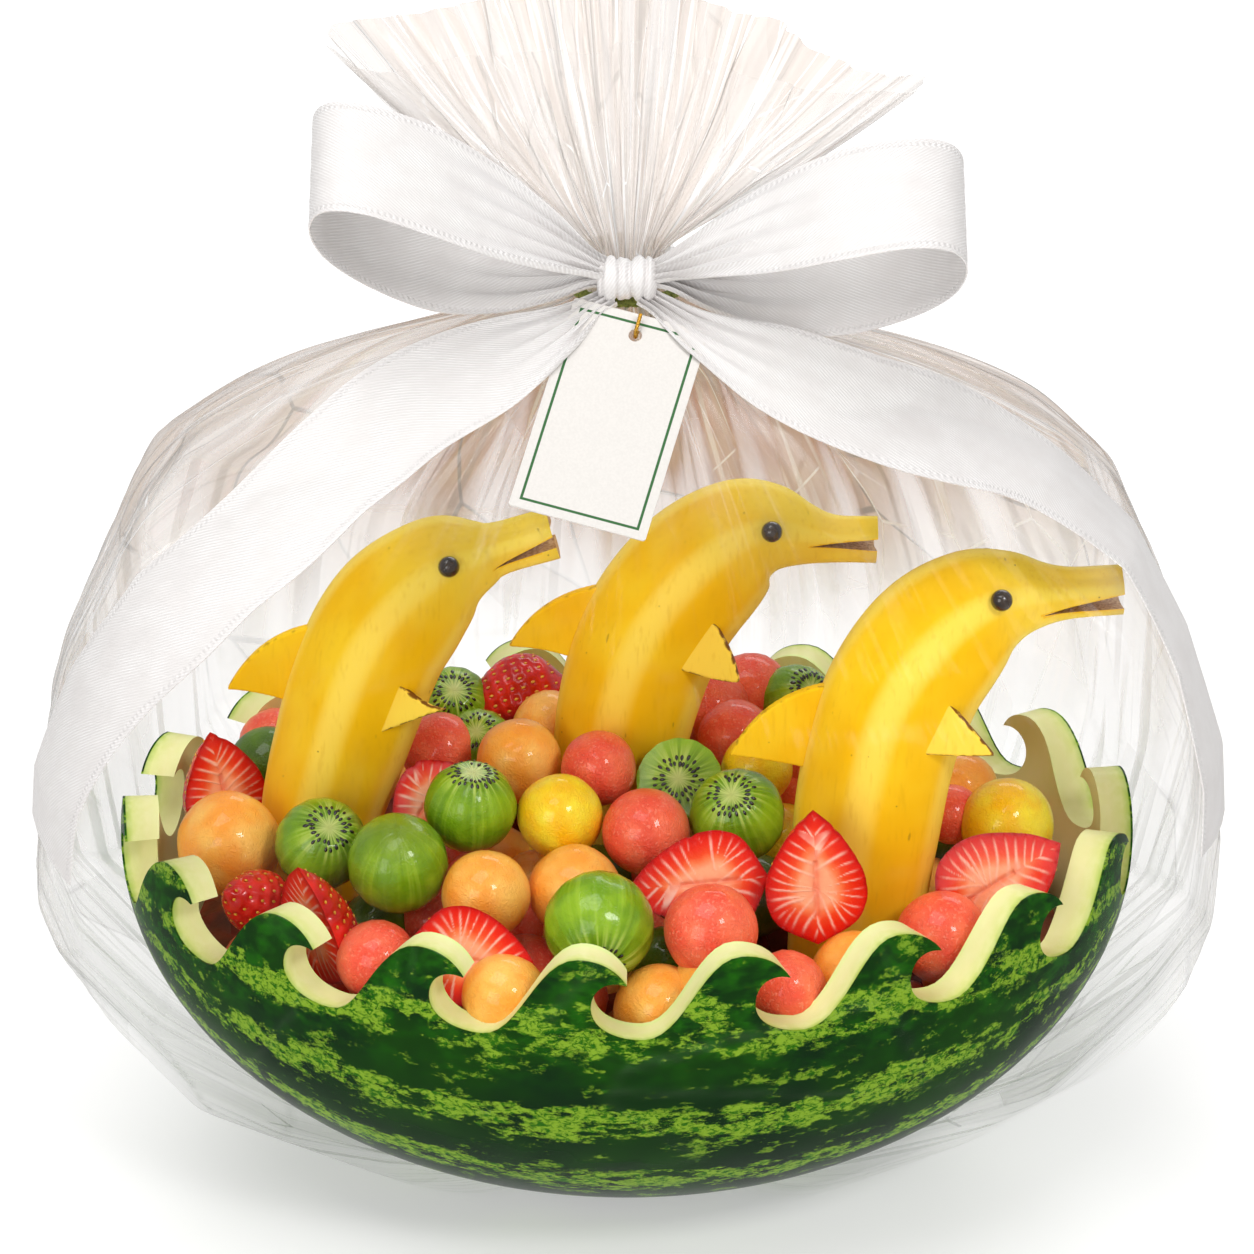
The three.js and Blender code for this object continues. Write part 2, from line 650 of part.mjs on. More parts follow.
function wrapRing([z, length, depth, square], inset) {
  return Array.from({ length: wrapSides }, (_, j) => {
    const turn = (2 * Math.PI * j) / wrapSides;
    const [c, s] = [Math.cos(turn), Math.sin(turn)];
    const power = 2 / square;
    return vec(
      (length - inset) * Math.sign(c) * Math.abs(c) ** power,
      (depth - inset) * Math.sign(s) * Math.abs(s) ** power,
      z,
    );
  });
}

function fanRing([z, length, depth, drop, pleat], inset) {
  return Array.from({ length: wrapSides }, (_, j) => {
    const turn = (2 * Math.PI * j) / wrapSides;
    const fold = (j % 2 ? 1 : -1) * (pleat / 2);
    const [c, s] = [Math.cos(turn), Math.sin(turn)];
    return vec((length + fold - inset) * c, (depth + fold - inset) * s, z - drop * c * c);
  });
}

function filmWrap() {
  const outside = [
    ...wrapRows.map((row) => wrapRing(row, 0)),
    ...fanRows.map((row) => fanRing(row, 0)),
  ];
  const [, ...upperRows] = wrapRows;
  const inside = [
    wrapRing([filmThickness, ...wrapRows[0].slice(1)], filmThickness),
    ...upperRows.map((row) => wrapRing(row, filmThickness)),
    ...fanRows.map((row) => fanRing(row, filmThickness)),
  ];
  return loft([...outside, ...inside.reverse()]);
}

add("film_wrap", filmWrap(), look.film);

// Moves a point out of the wrap, straight away from the middle, until it lies over the film
function clearOfWrap(point, over) {
  if (point.z > neckHeight) return point;
  const [, length, depth, square] = wrapAt(point.z);
  const share = (Math.abs(point.x) / (length + over)) ** square + (Math.abs(point.y) / (depth + over)) ** square;
  if (share >= 1) return point;
  const scale = share ** (-1 / square);
  return vec(point.x * scale, point.y * scale, point.z);
}

// ---- The green tie round the neck ----

function neckTie() {
  const height = 259.8;
  const ring = 14.2;
  const wire = 1.5;
  const twist = new THREE.CylinderGeometry(2.2, 2.6, 6, 8).rotateX(Math.PI / 2);
  twist.translate(0, ring + 2, height);
  const torus = new THREE.TorusGeometry(ring, wire, 6, 24).translate(0, 0, height);
  return geometryOf(solidOf(torus).add(solidOf(twist)));
}

add("neck_tie", neckTie(), look.tie);

// ---- The ribbon bow ----

const knotCentre = vec(0, -17.2, 267.3);
const acrossRibbon = vec(0, -0.766, -0.643); // the way a loop's width runs
const overRibbon = vec(0, -0.643, 0.766); // out of a loop's front band

function knot() {
  const bulge = [
    [0, -7.6], [3.6, -7.6], [5.6, -6.2], [6, -3.6], [5.1, -1.2], [5.1, 1.2], [6, 3.6], [5.6, 6.2],
    [3.6, 7.6], [0, 7.6],
  ].map(([x, y]) => new THREE.Vector2(x, y));
  const body = new THREE.LatheGeometry(bulge, 14).rotateZ(Math.PI / 2);
  body.translate(knotCentre.x, knotCentre.y, knotCentre.z);
  const inner = 11.4;
  const outer = 12.6;
  const half = 3.6;
  const band = [[inner, -half], [outer, -half], [outer, half], [inner, half], [inner, -half]];
  const collar = new THREE.LatheGeometry(band.map(([x, y]) => new THREE.Vector2(x, y)), 24);
  collar.rotateX(Math.PI / 2).translate(0, 0, 266.2);
  return geometryOf(solidOf(body).add(solidOf(collar)));
}

add("ribbon_knot", knot(), look.satin);

// A flat strip through centres, each with its width and the way the width runs
function strip(stations, parts, place = (point) => point) {
  const rings = stations.map(({ centre, width, across, over }) => {
    const ring = [];
    for (const side of [1, -1]) {
      for (let k = 0; k <= parts; k++) {
        const share = side * (k / parts - 0.5);
        const point = place(centre.clone().addScaledVector(across, share * width));
        ring.push(point.addScaledVector(over, (side * ribbonThickness) / 2));
      }
    }
    return ring;
  });
  return loft(rings);
}

// How far along the loop's axis, how far over it, and the ribbon's width there
const loopPath = [
  [0.12, 2.6, 8], [0.24, 7.5, 17], [0.42, 13.5, 27], [0.62, 18.5, 32], [0.82, 18.5, 32],
  [0.95, 13, 32], [1, 2, 32], [0.96, -10, 32], [0.82, -18, 32], [0.62, -20, 32],
  [0.42, -15.5, 27], [0.24, -8.5, 17], [0.12, -2.6, 8],
];

function bowLoop(axis) {
  const stations = loopPath.map(([along, over, width]) => ({
    centre: knotCentre.clone().addScaledVector(axis, along).addScaledVector(overRibbon, over),
    width,
    across: acrossRibbon,
  }));
  stations.forEach((station, k) => {
    const before = stations[Math.max(0, k - 1)].centre;
    const after = stations[Math.min(stations.length - 1, k + 1)].centre;
    station.over = after.clone().sub(before).cross(acrossRibbon).normalize();
  });
  return strip(stations, 1);
}

add("ribbon_loop_left", bowLoop(vec(-80, -7, 29)), look.satin);
add("ribbon_loop_right", bowLoop(vec(86, -7, 18)), look.satin);

// The tails leave the knot, spring over the shoulders of the wrap and lie down its sides
const tailPaths = {
  left: [
    [-9, -21.5, 261, 7], [-18, -28, 257, 14], [-34, -33, 250, 26], [-56, -38, 240, 31],
    [-73, -46, 228, 32], [-89, -56, 215, 32], [-104, -62, 203, 32], [-119, -66, 189, 32],
    [-131, -64, 174, 32], [-141, -60, 156, 32], [-147, -56, 138, 32], [-149.5, -53, 121, 32],
  ],
  right: [
    [9, -21.5, 261, 7], [20, -28, 256, 14], [38, -31, 248, 25], [62, -32.5, 238, 30],
    [88, -31, 228.5, 32], [112, -33, 216, 32], [128, -34, 202, 32], [137, -35, 188, 32],
    [143, -37, 173, 32], [148, -40, 157, 32], [151, -42, 139, 32], [152, -43, 121, 32],
  ],
};
const tailLift = 2.8;

function ribbonTail(path) {
  const route = new THREE.CatmullRomCurve3(path.map(([x, y, z]) => vec(x, y, z)));
  const widths = new THREE.SplineCurve(path.map(([, , , width], k) => new THREE.Vector2(k, width)));
  const count = 20;
  const stations = Array.from({ length: count + 1 }, (_, k) => {
    const centre = route.getPoint(k / count);
    const along = route.getTangent(k / count);
    const [, length, depth, square] = wrapAt(Math.min(centre.z, 252));
    const over = vec(
      (Math.sign(centre.x) * Math.abs(centre.x / length) ** (square - 1)) / length,
      -(Math.abs(centre.y / depth) ** (square - 1)) / depth,
      0,
    ).normalize();
    over.z = centre.z > 190 ? 0.9 : (centre.z - 100) / 100;
    over.normalize();
    const across = over.clone().cross(along).normalize();
    const width = widths.getPoint(k / count).y;
    return { centre, width, across, over: along.clone().cross(across).normalize() };
  });
  return strip(stations, 4, (point) => clearOfWrap(point, tailLift));
}

add("ribbon_tail_left", ribbonTail(tailPaths.left), look.satin);
add("ribbon_tail_right", ribbonTail(tailPaths.right), look.satin);

// ---- The gift tag ----

const cardCentre = vec(-4.5, -44, 236.5);
const cardLean = THREE.MathUtils.degToRad(45); // from upright
const cardTurn = THREE.MathUtils.degToRad(16); // in its own plane, bottom to the left
const holeRadius = 1.75;
const holeRise = 24; // from the card's middle

function cardAxes() {
  const slope = vec(0, Math.sin(cardLean), Math.cos(cardLean));
  const right = vec(Math.cos(cardTurn), 0, 0).addScaledVector(slope, -Math.sin(cardTurn));
  const up = slope.clone().multiplyScalar(Math.cos(cardTurn)).add(vec(Math.sin(cardTurn), 0, 0));
  return { right, up, out: right.clone().cross(up) };
}

function giftCard() {
  const shape = new THREE.Shape([
    new THREE.Vector2(-cardWidth / 2, -cardLength / 2),
    new THREE.Vector2(cardWidth / 2, -cardLength / 2),
    new THREE.Vector2(cardWidth / 2, cardLength / 2),
    new THREE.Vector2(-cardWidth / 2, cardLength / 2),
  ]);
  const hole = new THREE.Path();
  hole.absarc(0, holeRise, holeRadius, 0, 2 * Math.PI, true);
  shape.holes.push(hole);
  const { right, up, out } = cardAxes();
  return orient(plate(shape, cardThickness, 6), right, up, out, cardCentre);
}

add("tag", giftCard(), look.card);

// The gold cord comes out under the knot, through the hole and back up behind the card
function tagCord() {
  const { up, out } = cardAxes();
  const hole = cardCentre.clone().addScaledVector(up, holeRise);
  const onCard = (rise, over) => hole.clone().addScaledVector(up, rise).addScaledVector(out, over);
  const path = new THREE.CatmullRomCurve3([
    onCard(5.2, 2.6),
    onCard(3, 2.2),
    onCard(0.6, 1.5),
    onCard(0, 0),
    onCard(0.6, -1.5),
    onCard(3, -2),
  ]);
  const radius = 0.5;
  const round = new THREE.Shape();
  round.absarc(0, 0, radius, 0, 2 * Math.PI);
  return new THREE.ExtrudeGeometry(round, {
    steps: 12,
    curveSegments: 3,
    bevelEnabled: false,
    extrudePath: path,
  });
}

add("tag_cord", tagCord(), look.gold);

export default boat;
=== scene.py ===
import math
import random

import bmesh
import bpy
import numpy as np
from mathutils import Matrix, Vector, noise
from mathutils.bvhtree import BVHTree
from mathutils.geometry import delaunay_2d_cdt


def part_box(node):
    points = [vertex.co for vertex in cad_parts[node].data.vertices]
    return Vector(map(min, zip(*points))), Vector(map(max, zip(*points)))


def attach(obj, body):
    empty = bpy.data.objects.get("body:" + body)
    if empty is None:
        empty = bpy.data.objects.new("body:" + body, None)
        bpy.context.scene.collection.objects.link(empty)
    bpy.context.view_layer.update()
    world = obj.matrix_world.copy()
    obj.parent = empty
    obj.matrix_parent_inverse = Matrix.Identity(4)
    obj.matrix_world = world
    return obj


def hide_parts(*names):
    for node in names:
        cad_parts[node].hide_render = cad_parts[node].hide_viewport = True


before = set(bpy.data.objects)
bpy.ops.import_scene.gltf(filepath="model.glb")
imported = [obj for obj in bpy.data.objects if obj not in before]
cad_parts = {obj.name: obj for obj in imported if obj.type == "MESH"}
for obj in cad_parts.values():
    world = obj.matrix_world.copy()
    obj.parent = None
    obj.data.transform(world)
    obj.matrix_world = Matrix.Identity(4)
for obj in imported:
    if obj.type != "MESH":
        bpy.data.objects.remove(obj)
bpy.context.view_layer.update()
scene = bpy.context.scene
mm = 0.001
fullTurn = 2 * math.pi
draw = random.Random(11)  # for the heap; other pieces have seeds of their own


# camera: three quarters from above, long lens

cameraSet = {"distance": 1.2, "height": 0.1, "elevation": 27, "tilt": 24.35, "lens": 124.0, "sensor": 36,
             "clip": (0.05, 30)}

lift = math.radians(cameraSet["elevation"])
camera = bpy.data.objects.new("camera", bpy.data.cameras.new("camera"))
camera.data.lens = cameraSet["lens"]
camera.data.sensor_width = cameraSet["sensor"]
camera.data.clip_start, camera.data.clip_end = cameraSet["clip"]
camera.location = (0, -cameraSet["distance"] * math.cos(lift),
                   cameraSet["height"] + cameraSet["distance"] * math.sin(lift))
camera.rotation_euler = (math.radians(90 - cameraSet["tilt"]), 0, 0)
scene.collection.objects.link(camera)
scene.camera = camera


# small helpers for finishes

def colour(code):  # a screen colour such as "f2c41d" as linear numbers
    parts = [int(code[k:k + 2], 16) / 255 for k in (0, 2, 4)]
    return tuple(c / 12.92 if c <= 0.04045 else ((c + 0.055) / 1.055) ** 2.4 for c in parts) + (1.0,)


class Wire:  # a socket that can be used in sums
    def __init__(self, finish, socket):
        self.finish = finish
        self.socket = socket

    def __add__(self, other):
        return self.finish.maths("ADD", self, other)

    def __radd__(self, other):
        return self.finish.maths("ADD", other, self)

    def __sub__(self, other):
        return self.finish.maths("SUBTRACT", self, other)

    def __rsub__(self, other):
        return self.finish.maths("SUBTRACT", other, self)

    def __mul__(self, other):
        return self.finish.maths("MULTIPLY", self, other)

    def __rmul__(self, other):
        return self.finish.maths("MULTIPLY", other, self)

    def __truediv__(self, other):
        return self.finish.maths("DIVIDE", self, other)

    def __rtruediv__(self, other):
        return self.finish.maths("DIVIDE", other, self)

    def __pow__(self, other):
        return self.finish.maths("POWER", self, other)


class Finish:  # one material while it is put together; a colour is given by its code
    def __init__(self, name, **fixed):
        self.material = bpy.data.materials.new(name)
        self.material.use_nodes = True
        self.tree = self.material.node_tree
        self.shader = self.tree.nodes["Principled BSDF"]
        for socket, value in fixed.items():
            self.shader.inputs[socket.replace("_", " ")].default_value = value

    def node(self, kind, settings=None, sockets=None, out=0):
        made = self.tree.nodes.new(kind)
        for key, value in (settings or {}).items():
            setattr(made, key, value)
        for key, value in (sockets or {}).items():
            if isinstance(value, Wire):
                self.tree.links.new(value.socket, made.inputs[key])
            else:
                made.inputs[key].default_value = colour(value) if isinstance(value, str) else value
        return Wire(self, made.outputs[out])

    def maths(self, operation, *values):
        return self.node("ShaderNodeMath", {"operation": operation}, dict(enumerate(values)))

    def size(self, value):
        return self.maths("ABSOLUTE", value)

    def larger(self, first, second):
        return self.maths("MAXIMUM", first, second)

    def smaller(self, first, second):
        return self.maths("MINIMUM", first, second)

    def place(self, stretch=None):  # metres in the piece's own axes
        here = self.node("ShaderNodeTexCoord", out="Object")
        if stretch:
            return self.node("ShaderNodeVectorMath", {"operation": "MULTIPLY"}, {0: here, 1: stretch})
        return here

    def axes(self, where=None):
        split = self.node("ShaderNodeSeparateXYZ", sockets={0: where or self.place()})
        return [Wire(self, output) for output in split.socket.node.outputs]

    def joined(self, x, y, z=0.0):
        return self.node("ShaderNodeCombineXYZ", sockets={0: x, 1: y, 2: z})

    def painted(self, *names):  # numbers carried by the mesh
        return [self.node("ShaderNodeAttribute", {"attribute_name": name}, out="Fac") for name in names]

    def grain(self, size, where=None, detail=2.0, rough=0.5, twist=0.0):  # soft noise, size in mm
        where = where if isinstance(where, Wire) else self.place(where)
        sockets = {"Vector": where, "Scale": 1 / (size * mm), "Detail": detail, "Roughness": rough,
                   "Distortion": twist}
        return self.node("ShaderNodeTexNoise", None, sockets)

    def flatGrain(self, across, along, rough=0.5):  # soft noise laid on a sheet
        return self.node("ShaderNodeTexNoise", {"noise_dimensions": "2D"}, {
            "Vector": self.joined(across, along), "Scale": 1.0, "Detail": 1.0, "Roughness": rough})

    def cells(self, where, size=1000, flat=True, feature="F1", out="Distance"):
        settings = {"voronoi_dimensions": "2D" if flat else "3D", "feature": feature}
        return self.node("ShaderNodeTexVoronoi", settings, {"Vector": where, "Scale": 1 / (size * mm)}, out)

    def between(self, value, low, high, start=0.0, end=1.0):  # stretches low..high to start..end
        sockets = {"Value": value, "From Min": low, "From Max": high, "To Min": start, "To Max": end}
        return self.node("ShaderNodeMapRange", {"interpolation_type": "SMOOTHSTEP"}, sockets)

    def blend(self, share, first, second):
        picture = {"data_type": "RGBA", "clamp_factor": True}
        return self.node("ShaderNodeMix", picture, {0: share, 6: first, 7: second}, 2)

    def tints(self, tone, *layers):  # colours laid over a tone: code, value, and where it comes in
        for code, value, *span in layers:
            tone = self.blend(self.between(value, *span) if span else value, tone, code)
        return tone

    def ramp(self, value, stops):  # several colours along a value
        made = self.node("ShaderNodeValToRGB", None, {0: value})
        elements = made.socket.node.color_ramp.elements
        while len(elements) < len(stops):
            elements.new(0.5)
        for stop, (place, code) in zip(elements, stops):
            stop.position, stop.color = place, colour(code)
        return made

    def into(self, deep=None, height=None, **sockets):  # deep: mm of relief for a height of 1
        if deep is not None:
            sockets["Normal"] = self.node("ShaderNodeBump", None, {
                "Height": height, "Distance": deep * mm, "Strength": 1.0})
        for key, wire in sockets.items():
            self.tree.links.new(wire.socket, self.shader.inputs[key.replace("_", " ")])
        return self.material


# small helpers for meshes

def smoothPath(points, count):  # a smooth line through points, sampled evenly in its own steps
    points = np.asarray(points, float)
    padded = np.vstack([2 * points[0] - points[1], points, 2 * points[-1] - points[-2]])
    places = np.linspace(0, len(points) - 1, count)
    start = np.minimum(places.astype(int), len(points) - 2)
    t = (places - start)[:, None]
    a, b, c, d = (padded[start + k] for k in range(4))
    return 0.5 * (2 * b + (c - a) * t + (2 * a - 5 * b + 4 * c - d) * t ** 2 + (3 * b - a - 3 * c + d) * t ** 3)


def roundTurns(sides):  # even angles once round
    return [fullTurn * j / sides for j in range(sides)]


def unit(rows):
    return rows / np.linalg.norm(rows, axis=1)[:, None]


def walkedAlong(points):  # the way walked up to each point
    return np.concatenate([[0], np.cumsum(np.linalg.norm(np.diff(points, axis=0), axis=1))])


def joinRings(first, second, sides):  # faces between the rings that start at these two points
    return [(first + j, first + (j + 1) % sides, second + (j + 1) % sides, second + j) for j in range(sides)]


def gridFaces(rows, columns, closed=True):
    faces = []
    for start in range(0, (rows - 1) * columns, columns):
        faces += joinRings(start, start + columns, columns)[:None if closed else -1]
    return faces


def paint(mesh, numbers):  # numbers that the finishes read back
    for key, values in numbers.items():
        mesh.attributes.new(key, "FLOAT", "POINT").data.foreach_set("value", np.asarray(values, np.float32))


def layStrip(mesh, spots):  # metres across and along a strip, for every point
    order = [loop.vertex_index for loop in mesh.loops]
    mesh.uv_layers.new(name="strip").data.foreach_set("uv", np.array(spots, np.float32)[order].ravel())
    return mesh


def coordinates(mesh, kind=float):
    spots = np.empty(len(mesh.vertices) * 3, kind)
    mesh.vertices.foreach_get("co", spots)
    return spots.reshape(-1, 3)


def fromWork(name, work, smooth=True):
    mesh = bpy.data.meshes.new(name)
    work.to_mesh(mesh)
    work.free()
    if smooth:
        mesh.shade_smooth()
    return mesh


def toMesh(name, points, faces, sharp=40, numbers=None, outward=True):  # points in metres
    mesh = bpy.data.meshes.new(name)
    mesh.from_pydata([tuple(p) for p in points], [], faces)
    paint(mesh, numbers or {})
    if outward:
        work = bmesh.new()
        work.from_mesh(mesh)
        bmesh.ops.recalc_face_normals(work, faces=work.faces)
        work.to_mesh(mesh)
        work.free()
    mesh.shade_smooth()
    mesh.set_sharp_from_angle(angle=math.radians(sharp))
    return mesh


def show(name, mesh, finish, nodes=(), turn=None):  # finish: one name or a list of them
    made = bpy.data.objects.new(name, mesh)
    scene.collection.objects.link(made)
    for key in finish if isinstance(finish, list) else [finish]:
        mesh.materials.append(finishes[key])
    if turn is not None:
        made.matrix_world = turn
    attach(made, "root")
    if nodes:
        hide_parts(*nodes)
    return made


def applyModifiers(made):
    fresh = bpy.data.meshes.new_from_object(made.evaluated_get(bpy.context.evaluated_depsgraph_get()))
    made.modifiers.clear()
    made.data = fresh


def boxMiddle(node):
    low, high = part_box(node)
    return (Vector(low) + Vector(high)) / 2


print("helpers ready")


# finishes

# the melon shell, in metres; its stripes are counted in bands, and the first is given in degrees
melon = {"halfLength": 0.140, "radius": 0.102, "rind": 0.0082, "middle": 0.100, "waves": 18,
         "troughDrop": 0.010, "crestRise": 0.013, "waveOffset": 0.6, "floor": 0.0013, "seamDrop": 0.008,
         "bands": 19, "firstBand": 4.0}


def ballFinish(name, light, deep, wrinkle=0.4, fleck=None):
    f = Finish(name, Roughness=0.3, Specular_IOR_Level=0.18, Coat_Weight=0.38, Coat_Roughness=0.05)
    tone = f.blend(f.between(f.grain(10), 0.32, 0.66), deep, light)
    if fleck:
        tone = f.tints(tone, (fleck, f.grain(0.9, detail=1), 0.56, 0.72, 0, 0.45))
    return f.into(wrinkle, f.grain(1.5, twist=2.2), Base_Color=tone)  # fine wrinkles left by the scoop


def rindFinish():
    f = Finish("rind", Specular_IOR_Level=0.05, Coat_Weight=0.05, Coat_Roughness=0.1)
    x, y, z = f.axes()
    up = z - melon["middle"]
    length, radius = melon["halfLength"], melon["radius"]
    reach = f.maths("SQRT", (x / length) ** 2 + (y / radius) ** 2 + (up / radius) ** 2)
    depth = (1 - reach) * (radius / mm)  # mm under the skin
    down = f.maths("ARCTAN2", 0 - up, f.size(y))
    jag = f.grain(17, (0.45, 1, 1), detail=6, rough=0.62)
    fine = f.grain(5, (0.6, 1, 1), detail=5, rough=0.7)
    turns = down * melon["bands"] - math.radians(melon["firstBand"]) * melon["bands"]
    wave = f.maths("COSINE", turns + (jag - 0.5) * 4.6)
    band = f.between(wave + (fine - 0.5) * 2.4, -0.05, 0.3)
    ragged = f.grain(6.5, (0.5, 1, 1), detail=9, rough=0.72)
    patch = f.larger(band * f.between(ragged, 0.455, 0.515), f.between(ragged, 0.56, 0.62) * 0.75)
    veins = f.between(f.grain(1.5, (0.7, 1, 1), detail=4, rough=0.7, twist=0.6), 0.40, 0.56)
    dark = f.blend(f.between(f.grain(26), 0.35, 0.65), "0b270e", "123808")
    dark = f.tints(dark, ("1c5a08", f.between(up, -0.035, 0.0) * f.between(fine, 0.4, 0.7)))
    skin = f.blend(patch, dark, f.blend(veins, "28600a", "7c9f28"))
    flesh = f.ramp(depth / (melon["rind"] / mm), [
        (0.0, "4f8220"), (0.07, "a9c257"), (0.22, "d2d888"),
        (0.55, "e0de9e"), (0.88, "e4e6a4"), (1.0, "dcec9a")])
    flesh = f.tints(flesh, ("e9e7b4", f.grain(2.5, (1, 1, 0.4), detail=3), 0.35, 0.7, 0, 0.3))
    return f.into(0.9, f.grain(30, detail=1), Base_Color=f.blend(f.between(depth, 0.3, 0.6), skin, flesh),
                  Roughness=f.between(depth, 0.5, 0.9, 0.24, 0.36))


def bananaFinish():
    f = Finish("bananaPeel", Specular_IOR_Level=0.12, Specular_Tint=(1, 0.8, 0.22, 1))
    along, ridge, edge = f.painted("along", "ridge", "edge")  # edge: 1 along the cut edges of the fins
    cloud = f.grain(26)
    fibre = f.grain(1.2, (1, 1, 0.18), detail=3)
    spot = f.between(f.cells(f.place(), 5.2, False), 0.035, 0.07, 1, 0) * f.between(f.grain(14), 0.5, 0.58)
    dash = f.between(f.grain(3.5, (1, 1, 0.35)), 0.73, 0.765)
    tone = f.tints(
        f.blend(f.between(cloud, 0.35, 0.65), "f0b810", "f6c926"),
        # fde063: the ridges painted lighter, a painted highlight where they catch the light
        ("fde063", ridge, 0.5, 1.0, 0, 0.65), ("fbc61c", along, 0.1, 0.36, 0.3, 0),
        # cfc62c: a faint olive band at the beak's base, partly greenish peel and partly painted shade in the
        # crease there
        ("cfc62c", f.between(along, 0.6, 0.72) * f.between(along, 0.74, 0.9, 1, 0) * 0.12),
        # ffe65a: painted light, the head end painted a lighter yellow
        ("ffe65a", along, 0.52, 0.8, 0, 0.45), ("b09a2c", along, 0.95, 1.0, 0, 0.3),
        ("d39a12", fibre, 0.52, 0.72, 0, 0.22), ("6b4416", f.larger(spot * 0.8, dash * 0.5) * 0.75),
        ("7a4a18", f.between(f.grain(2.2, detail=3) + edge * 0.3, 0.66, 0.84) * edge))
    return f.into(0.06, fibre, Base_Color=tone, Roughness=f.between(cloud, 0.3, 0.7, 0.4, 0.48))


def plainFinish(name, base, shade, rough, size=2.0, deep=0.05, **fixed):
    f = Finish(name, Roughness=rough, **fixed)
    soft = f.grain(size, detail=3)
    return f.into(deep, soft, Base_Color=f.blend(f.between(soft, 0.3, 0.7), shade, base))


def kiwiFinish():
    f = Finish("kiwiFlesh", Roughness=0.22, Specular_IOR_Level=0.25, Coat_Weight=0.35, Coat_Roughness=0.07)
    x, y, _ = f.axes()
    turn = f.maths("ARCTAN2", y, x)
    tip, = f.painted("tip")  # 1 at the core end, 0 at the far end
    rays = f.grain(1000, f.joined(f.maths("SINE", turn) * 9, f.maths("COSINE", turn) * 9, tip))
    near = f.between(tip, 0.70, 0.84)
    tone = f.tints(
        f.blend(f.between(f.grain(8), 0.35, 0.65), "6a9410", "86ac1c"),
        ("a9c83e", rays, 0.50, 0.7, 0, 0.28), ("56830d", rays, 0.44, 0.28, 0, 0.32),
        ("6b7a16", tip, 0.05, 0.4, 0.55, 0), ("bccd62", near * f.between(rays, 0.46, 0.68, 0, 0.7)),
        ("5d7d16", near * f.between(rays, 0.5, 0.36, 0, 0.7)),
        ("c9d27c", tip + (rays - 0.5) * 0.12, 0.88, 0.99, 0, 0.8))
    return f.into(0.3, f.grain(1.4, detail=3, twist=0.8) + rays * 0.7, Base_Color=tone)


def berrySkinFinish():
    f = Finish("strawberrySkin", Roughness=0.24, Specular_IOR_Level=0.25, Coat_Weight=0.35, Coat_Roughness=0.08)
    return f.into(0.15, f.grain(2.0), Base_Color=f.blend(f.between(f.grain(7), 0.3, 0.7), "b3100c", "dc2418"))


def berryCutFinish():
    f = Finish("strawberryCut", Roughness=0.26, Specular_IOR_Level=0.1, Coat_Weight=0.18, Coat_Roughness=0.08)
    rim, ray, heart = f.painted("rim", "ray", "heart")  # rim: 0 at the outline, 1 at the middle
    tone = f.ramp(rim + (f.grain(3.5) - 0.5) * 0.2, [
        (0.0, "a80a05"), (0.1, "cf1409"), (0.36, "e22a12"),
        (0.62, "ea4820"), (0.82, "f27a48"), (1.0, "f8a67c")])
    white = ray * f.between(rim, 0.06, 0.4) * f.between(rim, 0.75, 1.0, 1, 0.5)
    tone = f.tints(tone, ("fbd5bf", white * 0.72), ("e8664a", heart * 0.8))
    return f.into(0.25, ray * 0.5 + f.grain(1.2) * 0.5, Base_Color=tone)


def satinFinish(name, base, shade):
    satin = {"twill": 0.0009, "stitch": 0.0016, "hem": (0.0138, 0.0142, 0.0148, 0.0152)}  # metres
    f = Finish(name, Roughness=0.42, Specular_IOR_Level=0.5, Sheen_Weight=0.25, Sheen_Roughness=0.4)
    strip = f.node("ShaderNodeUVMap")
    u, v, _ = f.axes(strip)  # metres across and along the ribbon
    waver = f.grain(9, strip, detail=3)
    twill = f.maths("SINE", (u + v * 0.62) * (fullTurn / satin["twill"])) * f.between(waver, 0.3, 0.7, 0.4, 1.0)
    hemStart, hemIn, hemOut, hemEnd = satin["hem"]
    hem = f.between(f.size(u), hemStart, hemIn) * f.between(f.size(u), hemOut, hemEnd, 1, 0)
    stitch = f.maths("SINE", v * (fullTurn / satin["stitch"])) * hem
    return f.into(0.07, twill * 0.5 + stitch * 1.5,
                  Base_Color=f.blend(f.between(twill * 0.5 + waver, 0.2, 1.2), shade, base))


